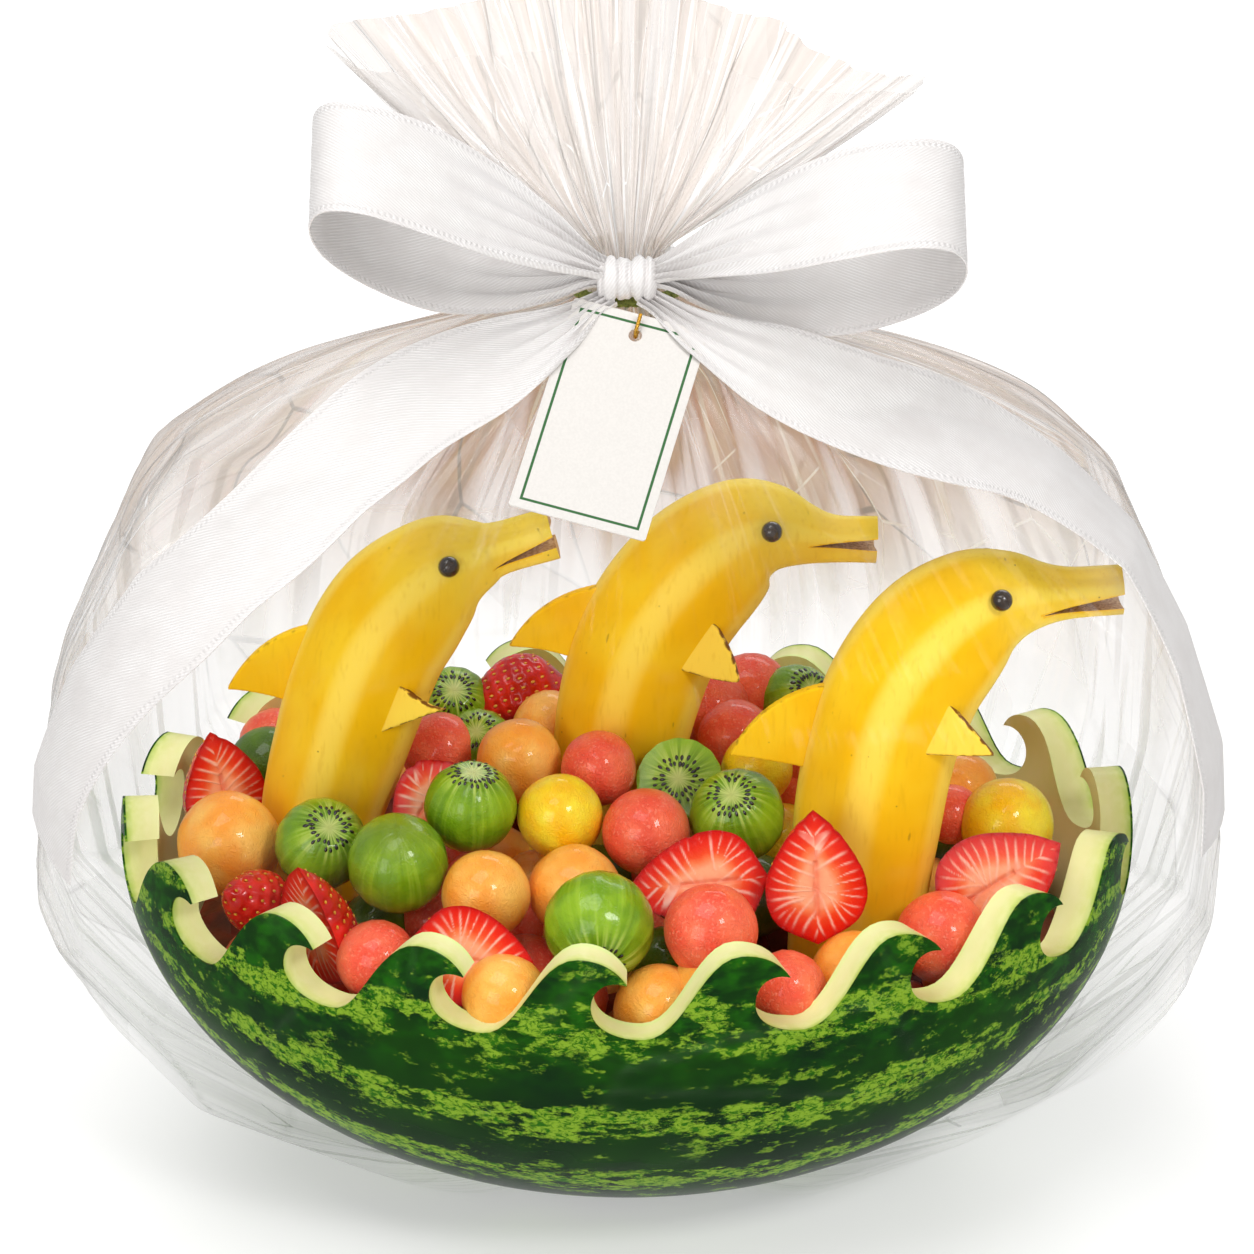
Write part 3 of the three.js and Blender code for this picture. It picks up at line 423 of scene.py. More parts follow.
def filmFinish():
    # The film's colour is painted light: its grey and white veil stands in for reflections on the folds, white
    # streaks, lines and creases are painted highlights, grey lines painted shade, and the beige behind a painted
    # reflection of the fruit; only the mirror share reflects the lamps.
    looks = {"mirror": 0.002, "sideMirror": 0.04, "streak": 0.6, "fold": 0.14, "crease": 0.2, "base": 0.14,
             "gather": 0.42, "edge": 0.3, "behind": 0.8, "dark": 0.2, "line": 0.5, "darkLine": 0.1,
             "shard": 0.26, "most": 0.93}
    f = Finish("clearFilm", Roughness=0.13)
    u, v, _ = f.axes(f.node("ShaderNodeUVMap"))  # metres round the wrap and along it
    gather, crease, back, side = f.painted("gather", "crease", "back", "side")
    slant = f.node("ShaderNodeLayerWeight", sockets={"Blend": 0.25}, out="Facing")
    # threads, streak and line: thin streaks and fold lines that the finish paints white as highlights
    threads = f.flatGrain(u * 230, v * 7, 0.6)
    wisps = f.flatGrain(u * 62 + 31, v * 6)
    patches = f.flatGrain(u * 22 + 57, v * 9)
    streak = f.between(threads, 0.56, 0.68) * f.between(patches, 0.40, 0.58)
    fold = f.between(wisps, 0.42, 0.64)
    # dark and darkLine: grey lines of painted shade in the folds
    dark = f.between(threads, 0.46, 0.38) * f.between(patches, 0.54, 0.42)
    sway = (f.flatGrain(u * 14 + 83, v * 9) - 0.5) * 0.8
    tall = f.joined(u * 40 + v * 5 + sway, v * 12)  # facets between sharp folds
    wide = f.joined(u * 30 - v * 14 + sway, v * 11 + u * 5)
    plain = 1 - gather * 0.75
    toFold, toDarkFold = (f.cells(where, feature="DISTANCE_TO_EDGE") for where in (tall, wide))
    line = f.between(toFold, 0.003, 0.012, 1, 0) * f.between(wisps, 0.50, 0.60)
    darkLine = f.between(toDarkFold, 0.008, 0.022, 1, 0) * f.between(patches, 0.50, 0.40)
    # shard: a random share for each cell, painting some facets lighter or darker as if they caught more or less
    # light
    shard = f.axes(f.cells(wide, out="Color"))[0]
    shown = f.larger(gather, f.larger(back * 0.85, side * 0.7))
    mirror = looks["mirror"] + side * looks["sideMirror"]
    # the veil: painted grey and white film with painted highlights and shade
    veil = shown * (looks["base"] + streak * looks["streak"] + fold * looks["fold"]
                    + dark * plain * looks["dark"] + line * looks["line"]
                    + darkLine * plain * looks["darkLine"] + shard * looks["shard"])
    veil = veil + crease * (0.02 + shown * looks["crease"]) + gather * looks["gather"] * (0.5 + fold)
    # the veil thickens at grazing angles as a painted reflection, and on the wall behind
    veil = veil + slant ** 3 * side * looks["edge"] + back * looks["behind"] * (0.45 + fold * 0.55)
    alpha = f.smaller(mirror + veil, looks["most"])
    # painted light: the tone runs from grey to white with the folds and cells
    tone = f.tints(
        f.blend(fold * 0.5 + shard * 0.5, "d2cdc8", "f6f3f0"),
        # bd8448: the wall behind and the gather painted beige, a painted reflection of the fruit
        ("bd8448", f.larger(back, gather * 0.3) * f.between(fold, 0.0, 1.0, 1.0, 0.6)),
        # 8f8984: painted shade, grey lines in the folds
        ("8f8984", f.larger(dark * 0.3, darkLine * 0.8) * plain),
        # ffffff: painted highlights on the streaks, fold lines and creases
        ("ffffff", f.larger(f.larger(streak * 0.8, line), crease * 0.5)))
    crumple = f.flatGrain(u * 60 + 11, v * 16, 0.6)
    return f.into(1.7, crumple * 1.4 + threads * 0.25, Base_Color=tone, Alpha=alpha,
                  Metallic=f.smaller(mirror / alpha, 1.0))


card = {"width": 36, "length": 60, "thickness": 0.6, "corner": 0.8, "hole": 1.75, "holeRise": 24,
        "centre": (-4.5, -44, 239.2), "lean": 45, "turn": 16, "inset": 2.3, "line": 0.65}  # mm and degrees


def cardFinish():
    f = Finish("tagCard", Roughness=0.75)
    x, y, _ = f.axes()
    toEdge = f.smaller(card["width"] / 2 - f.size(x) / mm, card["length"] / 2 - f.size(y) / mm)
    start, end = card["inset"], card["inset"] + card["line"]
    line = f.between(toEdge, start - 0.06, start + 0.02) * f.between(toEdge, end, end + 0.08, 1, 0)
    fibre = f.grain(0.6, detail=3)
    tone = f.blend(f.between(fibre, 0.3, 0.7), "d3cfca", "d8d4cf")
    return f.into(0.03, fibre, Base_Color=f.tints(tone, ("2c6130", line)))


finishes = {
    "rind": rindFinish(),
    "banana": bananaFinish(),
    "cutPeel": plainFinish("cutPeel", "dcb67c", "a9701f", 0.6, 0.8, 0.1),
    "eye": plainFinish("cloveEye", "35251a", "1d130d", 0.25, Coat_Weight=0.5),
    "cantaloupe": ballFinish("cantaloupeFlesh", "ffc05c", "fca036"),
    "watermelon": ballFinish("watermelonFlesh", "fb7450", "ee523a", 0.48, "ff9a7c"),
    "yellowMelon": ballFinish("yellowMelonFlesh", "ffe834", "fcc312"),
    "honeydew": ballFinish("greenMelonFlesh", "5f8212", "43640c"),
    "kiwi": kiwiFinish(),
    "seed": plainFinish("kiwiSeed", "17110c", "0d0906", 0.2, 0.5, 0.02, Coat_Weight=0.4),
    "pip": plainFinish("strawberryPip", "e8b23a", "c98a22", 0.4, 0.5, 0.02),
    "berrySkin": berrySkinFinish(),
    "berryCut": berryCutFinish(),
    # the heap's core: painted shade, dark red where the lower fruit lies in shadow
    "juice": plainFinish("heapShade", "8f3216", "5a1c0d", 0.4, 9.0, 0.6),
    "film": filmFinish(),
    "satin": satinFinish("satinRibbon", "e6e4e3", "d6d2d0"),
    "card": cardFinish(),
    "tie": plainFinish("greenTie", "8a9440", "55601f", 0.7, 0.7, 0.3),
    "gold": plainFinish("goldCord", "d9a843", "b07c20", 0.3, 0.4, 0.05, Metallic=0.85),
}
print("finishes ready")


# melon shell

def bezier(a, b, c, d, count):
    t = np.linspace(0, 1, count + 1)[:, None]
    a, b, c, d = (np.asarray(p, float) for p in (a, b, c, d))
    return (1 - t) ** 3 * a + 3 * t * (1 - t) ** 2 * b + 3 * t * t * (1 - t) * c + t ** 3 * d


def waveLine(period, count):  # one wave of the rim: along it, and over the trough
    crest = melon["crestRise"] + melon["troughDrop"]
    parts = [
        ((0, 0), (0.24, 0), (0.34, 1), (0.6, 1)),
        ((0.6, 1), (0.74, 1), (0.84, 0.88), (0.9, 0.7)),
        ((0.9, 0.7), (0.78, 0.78), (0.68, 0.66), (0.68, 0.4)),
        ((0.68, 0.4), (0.69, 0.12), (0.85, 0), (1, 0)),
    ]
    line = np.vstack([bezier(*part, count)[:-1] for part in parts] + [[[1, 0]]])
    return line * (period, crest)


rimTurns = np.linspace(0, fullTurn, 1441)
rimSteps = np.hypot(np.diff(melon["halfLength"] * np.cos(rimTurns)),
                    np.diff(melon["radius"] * np.sin(rimTurns)))
rimLength = np.concatenate([[0], np.cumsum(rimSteps)])
wavePeriod = rimLength[-1] / melon["waves"]


def rimAngle(waves):  # angle round the melon, from a distance counted in waves
    share = ((waves + melon["waveOffset"]) / melon["waves"]) % 1.0
    return np.interp(share * rimLength[-1], rimLength, rimTurns)


def onMelon(inset, angle, z):
    length = melon["halfLength"] - inset
    radius = melon["radius"] - inset
    scale = math.sqrt(max(0.0, 1 - ((z - melon["middle"]) / radius) ** 2))
    return (length * scale * math.cos(angle), radius * scale * math.sin(angle), z)


def melonMesh():
    trough = melon["middle"] - melon["troughDrop"]
    seam = trough - melon["seamDrop"]
    line = waveLine(wavePeriod, 12)
    across = 12  # grid steps along one wave under its line
    points, faces = [], []

    def put(inset, waves, z):
        points.append(onMelon(inset, rimAngle(waves), z))
        return len(points) - 1

    # one wave as a flat patch, meshed finely between its line and the seam
    border = [Vector((p[0], p[1] + trough)) for p in line]
    low = [Vector((wavePeriod * (1 - k / across), seam)) for k in range(across + 1)]
    sides = [Vector((wavePeriod, trough - 0.004))], [Vector((0, trough - 0.004))]
    outline = border + sides[0] + low + sides[1]
    inner = []
    step = 0.0024
    for row in range(1, 14):
        for column in range(1, int(wavePeriod / step)):
            spot = Vector((column * step + (row % 2) * step / 2, seam + row * step))
            if insideOutline(spot, outline) and min((spot - p).length for p in outline) > 0.6 * step:
                inner.append(spot)
    edges = [(k, (k + 1) % len(outline)) for k in range(len(outline))]
    flat, patch = delaunay(outline + inner, edges)
    for inset in (0.0, melon["rind"]):
        for wave in range(melon["waves"]):
            ids = [put(inset, wave + p[0] / wavePeriod, p[1]) for p in flat]
            faces += [tuple(ids[k] for k in face) for face in patch]
    for wave in range(melon["waves"]):  # the cut along the top, with a slightly rounded middle
        cutAcross = 4
        rows = [[put(melon["rind"] * k / cutAcross, wave + p[0] / wavePeriod, p[1] + trough) for p in line]
                for k in range(cutAcross + 1)]
        for k in range(cutAcross):
            for i in range(len(line) - 1):
                faces.append((rows[k][i], rows[k][i + 1], rows[k + 1][i + 1], rows[k + 1][i]))
    columns = melon["waves"] * across
    for inset in (0.0, melon["rind"]):  # the bowl below the seam
        bottom = melon["floor"] if inset == 0 else melon["middle"] - melon["radius"] + inset + 0.002
        lowest = math.asin((bottom - melon["middle"]) / (melon["radius"] - inset))
        highest = math.asin((seam - melon["middle"]) / (melon["radius"] - inset))
        rows = 26
        rings = []
        for r in range(rows + 1):
            z = melon["middle"] + (melon["radius"] - inset) * math.sin(lowest + (highest - lowest) * r / rows)
            z = seam if r == rows else z
            rings.append([put(inset, c / across, z) for c in range(columns)])
        for ring, above in zip(rings, rings[1:]):
            faces += joinRings(ring[0], above[0], columns)
        points.append((0, 0, bottom))
        for c in range(columns):
            faces.append((len(points) - 1, rings[0][(c + 1) % columns], rings[0][c]))
    work = bmesh.new()
    corners = [work.verts.new(p) for p in points]
    for face in faces:
        try:
            work.faces.new([corners[k] for k in face])
        except ValueError:
            pass
    bmesh.ops.remove_doubles(work, verts=work.verts, dist=2e-5)
    bmesh.ops.recalc_face_normals(work, faces=work.faces)
    # the inside is scooped a little unevenly
    for corner in work.verts:
        x, y, z = corner.co
        reach = math.sqrt((x / (melon["halfLength"] - melon["rind"])) ** 2
                          + (y / (melon["radius"] - melon["rind"])) ** 2
                          + ((z - melon["middle"]) / (melon["radius"] - melon["rind"])) ** 2)
        if reach < 1.02:
            dent = noise.noise(corner.co * 45) * 0.0016 + 0.0007
            corner.co.x *= 1 - dent / melon["radius"]
            corner.co.y *= 1 - dent / melon["radius"]
    mesh = fromWork("melonShell", work)
    mesh.set_sharp_from_angle(angle=math.radians(50))
    return mesh


def insideOutline(spot, outline):
    inside = False
    for a, b in zip(outline, outline[1:] + outline[:1]):
        if (a.y > spot.y) != (b.y > spot.y) and spot.x < (b.x - a.x) * (spot.y - a.y) / (b.y - a.y) + a.x:
            inside = not inside
    return inside


def delaunay(spots, edges):
    verts, _, faces, *_ = delaunay_2d_cdt([Vector((p[0], p[1])) for p in spots], edges, [], 1, 1e-7)
    outline = [Vector((spots[a][0], spots[a][1])) for a, _ in edges]
    kept = []
    for face in faces:
        middle = sum((verts[k] for k in face), Vector((0, 0))) / len(face)
        if insideOutline(middle, outline):
            kept.append(face)
    return verts, kept


show("melonShell", melonMesh(), "rind", ["melon_shell"])
print("melon shell made")


# banana dolphins: along, height, thickness across the bend and sideways, in mm

dolphins = [
    {
        "at": (-79, 8, -8), "yaw": 3,
        "spine": [[-8, 88, 31, 31], [-5.5, 110, 34, 34], [-0.5, 128, 37, 36.5], [5, 146, 38.5, 37.5],
                  [11.5, 162, 38.5, 36.5], [20, 174, 36.5, 34], [30.5, 183.3, 29.5, 28], [40, 186.5, 18.5, 18.5],
                  [45, 188, 14.5, 13], [59, 192, 14, 11]],
        "mouth": ((42.5, 184.2), 23), "eye": (30.4, 188.5),
        "dorsal": [(-8, 166), (-31, 147.5), (-15, 144)],
        "flipper": [(16.3, 155.3), (9.7, 139.8), (29.4, 150.1)],
    },
    {
        "at": (-1, 28, -4.5), "yaw": 2,
        "spine": [[-2, 88, 34, 34], [-1, 112, 37, 36], [2, 132, 39, 38], [7, 148, 40, 38], [14, 161, 40, 37],
                  [24, 173, 38, 35], [34, 180.6, 32, 29], [42, 182, 25, 22], [50, 180.2, 17.5, 15.5],
                  [58, 178.7, 13.2, 12], [70, 178.2, 13, 11]],
        "mouth": ((51, 179.3), -2), "eye": (40.1, 186.8),
        "dorsal": [(-7, 165.5), (-32, 147.5), (-15.5, 144.5)],
        "flipper": [(24.7, 160.6), (14.6, 146.8), (30.8, 145.3)],
    },
    {
        "at": (65.5, -24, -12), "yaw": 4,
        "spine": [[-3, 86, 36, 35], [-1.5, 112, 38.5, 37.5], [0.5, 132, 40, 39], [4.5, 154, 40, 39],
                  [10, 169, 40, 38], [19, 181.5, 38, 35], [28.5, 189.2, 32, 29], [37, 191.8, 24.5, 22],
                  [45, 192, 17.5, 15], [53, 192.2, 14, 12], [66, 192.8, 13.6, 11]],
        "mouth": ((44, 188.5), 7.3), "eye": (31.8, 196.6),
        "dorsal": [(-12.5, 167.5), (-38, 147.5), (-18, 143.5)],
        "flipper": [(18.3, 168.6), (9.4, 153.6), (30, 155.2)],
    },
]
peel = {"sides": 60, "stations": 110, "ridge": 0.03, "finThickness": 3.0, "eyeRadius": 2.9, "eyeOut": 13.7,
        "gape": 2.7, "mouthReach": 27, "mouthHalfWidth": 15, "finRound": 0.28, "finGrain": 0.42,
        "finTaper": 0.45, "brownEdge": 0.5}


def peelMesh(name, spine, number):
    sides, stations = peel["sides"], peel["stations"]
    line = smoothPath(spine, stations)
    middle, girth = line[:, :2], line[:, 2:] / 2
    tangent = unit(np.gradient(middle, axis=0))
    window = np.hanning(19)[1:-1]
    padded = np.vstack([np.repeat(tangent[:1], 8, 0), tangent, np.repeat(tangent[-1:], 8, 0)])
    # eased, so that the rings don't cross in the throat
    tangent = unit(np.stack([np.convolve(padded[:, k], window / window.sum(), "valid") for k in range(2)], 1))
    points, ridges, alongs = [], [], []
    for k, (centre, size, ahead) in enumerate(zip(middle, girth, tangent)):
        along = k / (len(middle) - 1)
        stem = min(1, max(0, (along - 0.82) / 0.1))
        for turn in roundTurns(sides):
            # peak: 1 on each ridge, where the peel's finish paints a highlight
            peak = 0.5 + 0.5 * math.cos(5 * turn)
            facet = abs(math.cos(2.5 * turn)) ** 1.4  # flat faces with soft ridges between them
            ridge = 1 + peel["ridge"] * (2 * facet - 1.15) * (1 + 1.2 * stem)
            bulge = noise.noise(Vector((centre[0] * 0.05, centre[1] * 0.05, turn * 0.8 + 9 * number))) * 0.5
            over = (size[0] * ridge + bulge) * math.cos(turn)
            aside = (size[1] * ridge + bulge) * math.sin(turn)
            points.append((centre[0] - ahead[1] * over, aside, centre[1] + ahead[0] * over))
            ridges.append(peak)
            alongs.append(along)
    faces = gridFaces(stations, sides)
    last = len(points)
    for ring, inward in ((0, 0.6), (stations - 1, 0.8)):  # caps, the beak's end dished a little
        start = ring * sides
        middlePoint = np.mean(points[start:start + sides], axis=0)
        rows = [list(range(start, start + sides))]
        for share in (0.86, 0.5):
            rows.append([])
            for j in range(sides):
                spot = middlePoint + (np.array(points[start + j]) - middlePoint) * share
                spot[0] -= (1 - share) * inward * (1 if ring else -1)
                points.append(spot)
                ridges.append(0)
                alongs.append(1.0 if ring else 0.0)
                rows[-1].append(len(points) - 1)
        points.append(middlePoint - np.array([inward * (1 if ring else -1), 0, 0]))
        ridges.append(0)
        alongs.append(1.0 if ring else 0.0)
        for a, b in zip(rows, rows[1:]):
            faces += joinRings(a[0], b[0], sides)
        faces += [(rows[-1][j], rows[-1][(j + 1) % sides], len(points) - 1) for j in range(sides)]
    mesh = toMesh(name, np.array(points) * mm, faces, 40, {"ridge": ridges, "along": alongs})
    mesh.materials.append(finishes["banana"])
    mesh.materials.append(finishes["cutPeel"])
    for face in mesh.polygons:
        if min(face.vertices) >= (stations - 1) * sides and max(face.vertices) >= last:
            face.material_index = 1
    return mesh


def cutMouth(body, corner, rise):
    reach, gape, half = (peel[key] * mm for key in ("mouthReach", "gape", "mouthHalfWidth"))
    flat = [(0, 0), (reach, -gape), (reach, gape)]
    points, faces = [], []
    for side in (-half, half):
        points += [(x, side, z) for x, z in flat]
    count = len(flat)
    faces.append(tuple(range(count)))
    faces.append(tuple(range(2 * count - 1, count - 1, -1)))
    faces += joinRings(0, count, count)
    wedge = bpy.data.objects.new("wedge", toMesh("wedge", points, faces))
    wedge.data.materials.append(finishes["cutPeel"])
    wedge.matrix_world = (Matrix.Translation((corner[0] * mm, 0, corner[1] * mm))
                          @ Matrix.Rotation(math.radians(-rise), 4, "Y"))
    scene.collection.objects.link(wedge)
    slit = body.modifiers.new("mouth", "BOOLEAN")
    slit.object = wedge
    slit.operation = "DIFFERENCE"
    slit.solver = "EXACT"
    slit.material_mode = "TRANSFER"
    bpy.context.view_layer.update()
    applyModifiers(body)
    bpy.data.objects.remove(wedge)
    body.data.set_sharp_from_angle(angle=math.radians(38))


def finMesh(name, flat, thickness, bend, numbers, brown):
    # a slip of peel: outline in mm, rounded edges, curved a little across
    work = bmesh.new()
    base = [work.verts.new((x, y, 0)) for x, y in flat]
    work.faces.new(base)
    bmesh.ops.triangulate(work, faces=work.faces[:])
    made = bpy.data.objects.new(name, fromWork(name, work, False))
    scene.collection.objects.link(made)
    thick = made.modifiers.new("thick", "SOLIDIFY")
    thick.thickness = thickness
    thick.offset = 0
    rounded = made.modifiers.new("edge", "BEVEL")
    rounded.width = thickness * peel["finRound"]
    rounded.segments = 3
    rounded.limit_method = "ANGLE"
    rounded.angle_limit = math.radians(60)
    fine = made.modifiers.new("fine", "REMESH")
    fine.mode = "VOXEL"
    fine.voxel_size = peel["finGrain"]
    applyModifiers(made)
    mesh = made.data
    bpy.data.objects.remove(made)
    count = len(mesh.vertices)
    spots = coordinates(mesh, np.float32)
    reach = spots[:, 1].max()
    spots[:, 2] *= 1 - peel["finTaper"] * np.clip(spots[:, 1] / reach, 0, 1) ** 2
    spots[:, 2] += bend * (np.clip(spots[:, 1], 0, None) / reach) ** 2
    mesh.vertices.foreach_set("co", (spots * mm).ravel())
    paint(mesh, {key: np.full(count, value) for key, value in numbers.items()})
    away = np.full(count, 99.0)  # from the cut edge, in mm
    line = np.array([p for p in flat if p[1] >= -0.1], float)
    for a, b in zip(line, line[1:]):
        way = b - a
        share = np.clip(((spots[:, :2] - a) @ way) / max(way @ way, 1e-6), 0, 1)
        away = np.minimum(away, np.linalg.norm(spots[:, :2] - a - share[:, None] * way, axis=1))
    paint(mesh, {"edge": brown * np.exp(-(away / peel["brownEdge"]) ** 2)})
    mesh.shade_smooth()
    return mesh


def curveThrough(*parts):  # straight and bent stretches of a fin's outline
    line = []
    for part in parts:
        part = [np.array(p, float) for p in part]
        if len(part) == 2:
            line += [part[0], part[1]]
        else:
            for t in np.linspace(0, 1, 13):
                line.append((1 - t) ** 2 * part[0] + 2 * t * (1 - t) * part[1] + t * t * part[2])
    kept = [line[0]]
    for p in line[1:]:
        if np.linalg.norm(p - kept[-1]) > 0.05:
            kept.append(p)
    return kept


for number, dolphin in enumerate(dolphins, 1):
    frameTurn = (Matrix.Translation(Vector(dolphin["at"]) * mm)
                 @ Matrix.Rotation(math.radians(dolphin["yaw"]), 4, "Z"))
    name = f"dolphin{number}Body"
    body = bpy.data.objects.new(name, peelMesh(name, dolphin["spine"], number))
    scene.collection.objects.link(body)
    cutMouth(body, *dolphin["mouth"])
    body.data.transform(frameTurn)
    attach(body, "root")
    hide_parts(f"dolphin_{number}_body")

    (topX, topZ), (tipX, tipZ), (lowX, lowZ) = dolphin["dorsal"]
    outline = curveThrough(((topX + 2.5, topZ), (topX, topZ)),
                           ((topX, topZ), (tipX + 8, topZ - 3), (tipX, tipZ)),
                           ((tipX, tipZ), (tipX + 8, lowZ + 3), (lowX, lowZ)),
                           ((lowX, lowZ), (lowX + 2.5, lowZ)))
    # its own axes: y runs out from the back
    flat = [(p[1] - topZ, topX - p[0]) for p in outline]
    # ridge on a fin: the share of the peel's painted ridge highlight that it gets
    mesh = finMesh(f"dolphin{number}Dorsal", flat, peel["finThickness"], 0.0, {"along": 0.5, "ridge": 0.3}, 0.5)
    stand = Matrix(((0, -1, 0, topX * mm), (0, 0, -1, 0), (1, 0, 0, topZ * mm), (0, 0, 0, 1)))
    mesh.transform(frameTurn @ stand)
    show(f"dolphin{number}Dorsal", mesh, "banana", [f"dolphin_{number}_dorsal"])

    top, bottom, tip = (Vector((p[0], 0, p[1])) for p in dolphin["flipper"])
    for sideName, side in (("near", -1), ("far", 1)):
        flank = Vector((0, side * 15, 0))
        root = top - bottom
        up = root.normalized()
        out = tip + Vector((0, side * 7, 0)) - bottom
        endUp = out.dot(up)
        out -= up * endUp
        reach = out.length
        out.normalize()
        span = root.length
        outline = curveThrough(((0, -4), (0, 0)), ((0, 0), (endUp - 3.5, reach * 0.75), (endUp, reach)),
                               ((endUp, reach), (span * 0.8, reach * 0.7), (span, 0)), ((span, 0), (span, -4)))
        # ridge here: the share of the peel's painted ridge highlight that the flipper gets
        mesh = finMesh(f"dolphin{number}Flipper", outline, peel["finThickness"], 1.2,
                       {"along": 0.5, "ridge": 0.85}, 1.0)
        face = up.cross(out)
        stand = Matrix.Identity(4)
        for axis, direction in enumerate((up, out, face)):
            for row in range(3):
                stand[row][axis] = direction[row]
        stand.translation = (bottom + flank) * mm
        mesh.transform(frameTurn @ stand)
        show(f"dolphin{number}Flipper_{sideName}", mesh, "banana",
             [f"dolphin_{number}_flipper_{sideName}"])
        work = bmesh.new()
        bmesh.ops.create_uvsphere(work, u_segments=32, v_segments=20, radius=peel["eyeRadius"] * mm)
        mesh = fromWork("eye", work)
        x, z = dolphin["eye"]
        mesh.transform(frameTurn @ Matrix.Translation(Vector((x, side * peel["eyeOut"], z)) * mm))
        show(f"dolphin{number}Eye_{sideName}", mesh, "eye",
             [f"dolphin_{number}_eye_{sideName}"])
print("dolphins made")


# fruit: node, kind, length or diameter in mm, where its tip or core points, where its cut face looks

fruits = [
    ("strawberry_half_1", "berryHalf", 34, (-0.2, 0.1, 1), (0.5, -0.85, 0.2)),
    ("cantaloupe_ball_1", "cantaloupe", 29), ("honeydew_ball_1", "honeydew", 22),
    ("strawberry_1", "berry", 25, (-0.5, -0.6, 0.5)),
    ("strawberry_half_2", "berryHalf", 38, (-0.12, -0.1, 1), (-0.75, -0.6, 0.2)),
    ("kiwi_ball_1", "kiwi", 25, (0.25, -0.6, 0.75)), ("kiwi_ball_2", "kiwi", 27, (0, 0.3, -1)),
    ("strawberry_half_3", "berryHalf", 28, (-0.5, -0.3, -0.7), (0.2, -0.35, 0.9)),
    ("cantaloupe_ball_2", "cantaloupe", 24), ("kiwi_ball_3", "kiwi", 25, (0.08, -0.12, 1)),
    ("yellow_melon_ball_1", "yellowMelon", 23.5), ("watermelon_ball_1", "watermelon", 21),
    ("cantaloupe_ball_3", "cantaloupe", 24), ("cantaloupe_ball_4", "cantaloupe", 25),
    ("strawberry_half_4", "berryHalf", 36, (0.95, -0.1, -0.25), (0, -0.85, 0.5)),
    ("kiwi_ball_4", "kiwi", 29, (0.02, -0.9, -0.35)), ("watermelon_ball_2", "watermelon", 24),
    ("kiwi_ball_5", "kiwiHalf", 24, (-0.15, -0.7, 0.7)), ("kiwi_ball_6", "kiwi", 26, (-0.15, -0.55, 0.82)),
    ("yellow_melon_ball_2", "yellowMelon", 20),
    ("strawberry_half_5", "berryHalf", 38, (-0.97, -0.1, -0.05), (0.05, -0.8, 0.6)),
    ("watermelon_ball_3", "watermelon", 25),
    ("strawberry_half_6", "berryHalf", 37, (-0.05, 0.2, 1), (0.05, -0.95, 0.25)),
    ("cantaloupe_ball_5", "cantaloupe", 24), ("cantaloupe_ball_6", "cantaloupe", 25),
    ("watermelon_ball_4", "watermelon", 25),
    ("strawberry_half_7", "berryHalf", 40, (0.8, -0.05, 0.6), (-0.1, -0.85, 0.5)),
    ("yellow_melon_ball_3", "yellowMelon", 26), ("strawberry_2", "berry", 34, (-0.9, -0.2, -0.3)),
    ("watermelon_ball_5", "watermelon", 22), ("watermelon_ball_6", "watermelon", 22),
]
berry = {"girths": [0, 0.262, 0.348, 0.36, 0.325, 0.25, 0.15, 0], "flat": 0.94, "pipGap": 3.3,
         "pit": 0.45, "around": 96, "along": 110, "rayGap": 3.1, "pipIn": 0.28, "pipLength": 1.35}
kiwi = {"cut": 0.9, "halfCut": 0.25, "seedRows": 22, "seedNear": 3.4, "seedFar": 6.6, "seedLength": 1.7}


def facing(tip=(0, 0, 1), face=(0.3, -1, 0.2)):
    up = Vector(tip).normalized()
    front = Vector(face)
    front = (front - up * front.dot(up)).normalized()
    back = -front
    right = back.cross(up)
    return Matrix((right, back, up)).transposed().to_4x4()


def settleOn(mesh, turn, node):  # the place that brings the turned mesh to the middle of its CAD node
    spots = [turn @ v.co for v in mesh.vertices]
    low = Vector([min(p[k] for p in spots) for k in range(3)])
    high = Vector([max(p[k] for p in spots) for k in range(3)])
    return Matrix.Translation(boxMiddle(node) - (low + high) / 2) @ turn


def ballMesh(name, size, seed, fine=4):
    work = bmesh.new()
    bmesh.ops.create_icosphere(work, subdivisions=fine, radius=size / 2 * mm)
    shift = Vector((seed * 3.7, seed * 1.3, seed * 2.1))
    for corner in work.verts:
        way = corner.co.normalized()
        lump = noise.noise(way * 1.3 + shift) * 0.028 + noise.noise(way * 4 + shift) * 0.008
        corner.co *= 1 + lump - 0.008
    return fromWork(name, work)


kiwiSeeds = []  # points and directions of every seed, in the row's axes
pipSpots = []


def kiwiMesh(name, size, cut, seed):
    radius = size / 2
    flat = math.sqrt(1 - cut ** 2) * radius
    top = cut * radius
    ring = [(flat * k / 8, top, flat * k / 8) for k in range(9)]
    start = math.acos(cut)
    for k in range(1, 49):
        angle = start + (math.pi - start) * k / 48
        ring.append((radius * math.sin(angle), radius * math.cos(angle), flat + radius * (angle - start)))
    sides = 72
    points, tips = [], []
    for out, height, walked in ring:
        for turn in roundTurns(sides):
            groove = 0.10 * math.cos(turn * 14 + seed) * min(1, out / (0.5 * radius))
            where = Vector((math.cos(turn) * 1.2, math.sin(turn) * 1.2, height * 0.12 + seed * 5))
            lump = noise.noise(where) * 0.35
            spread = 1 + (groove + lump) / radius
            wide = out * spread
            points.append((wide * math.cos(turn) * mm, wide * math.sin(turn) * mm, height * mm))
            tips.append(1 - walked / (math.pi * radius))
    return toMesh(name, points, gridFaces(len(ring), sides), 75, {"tip": tips})


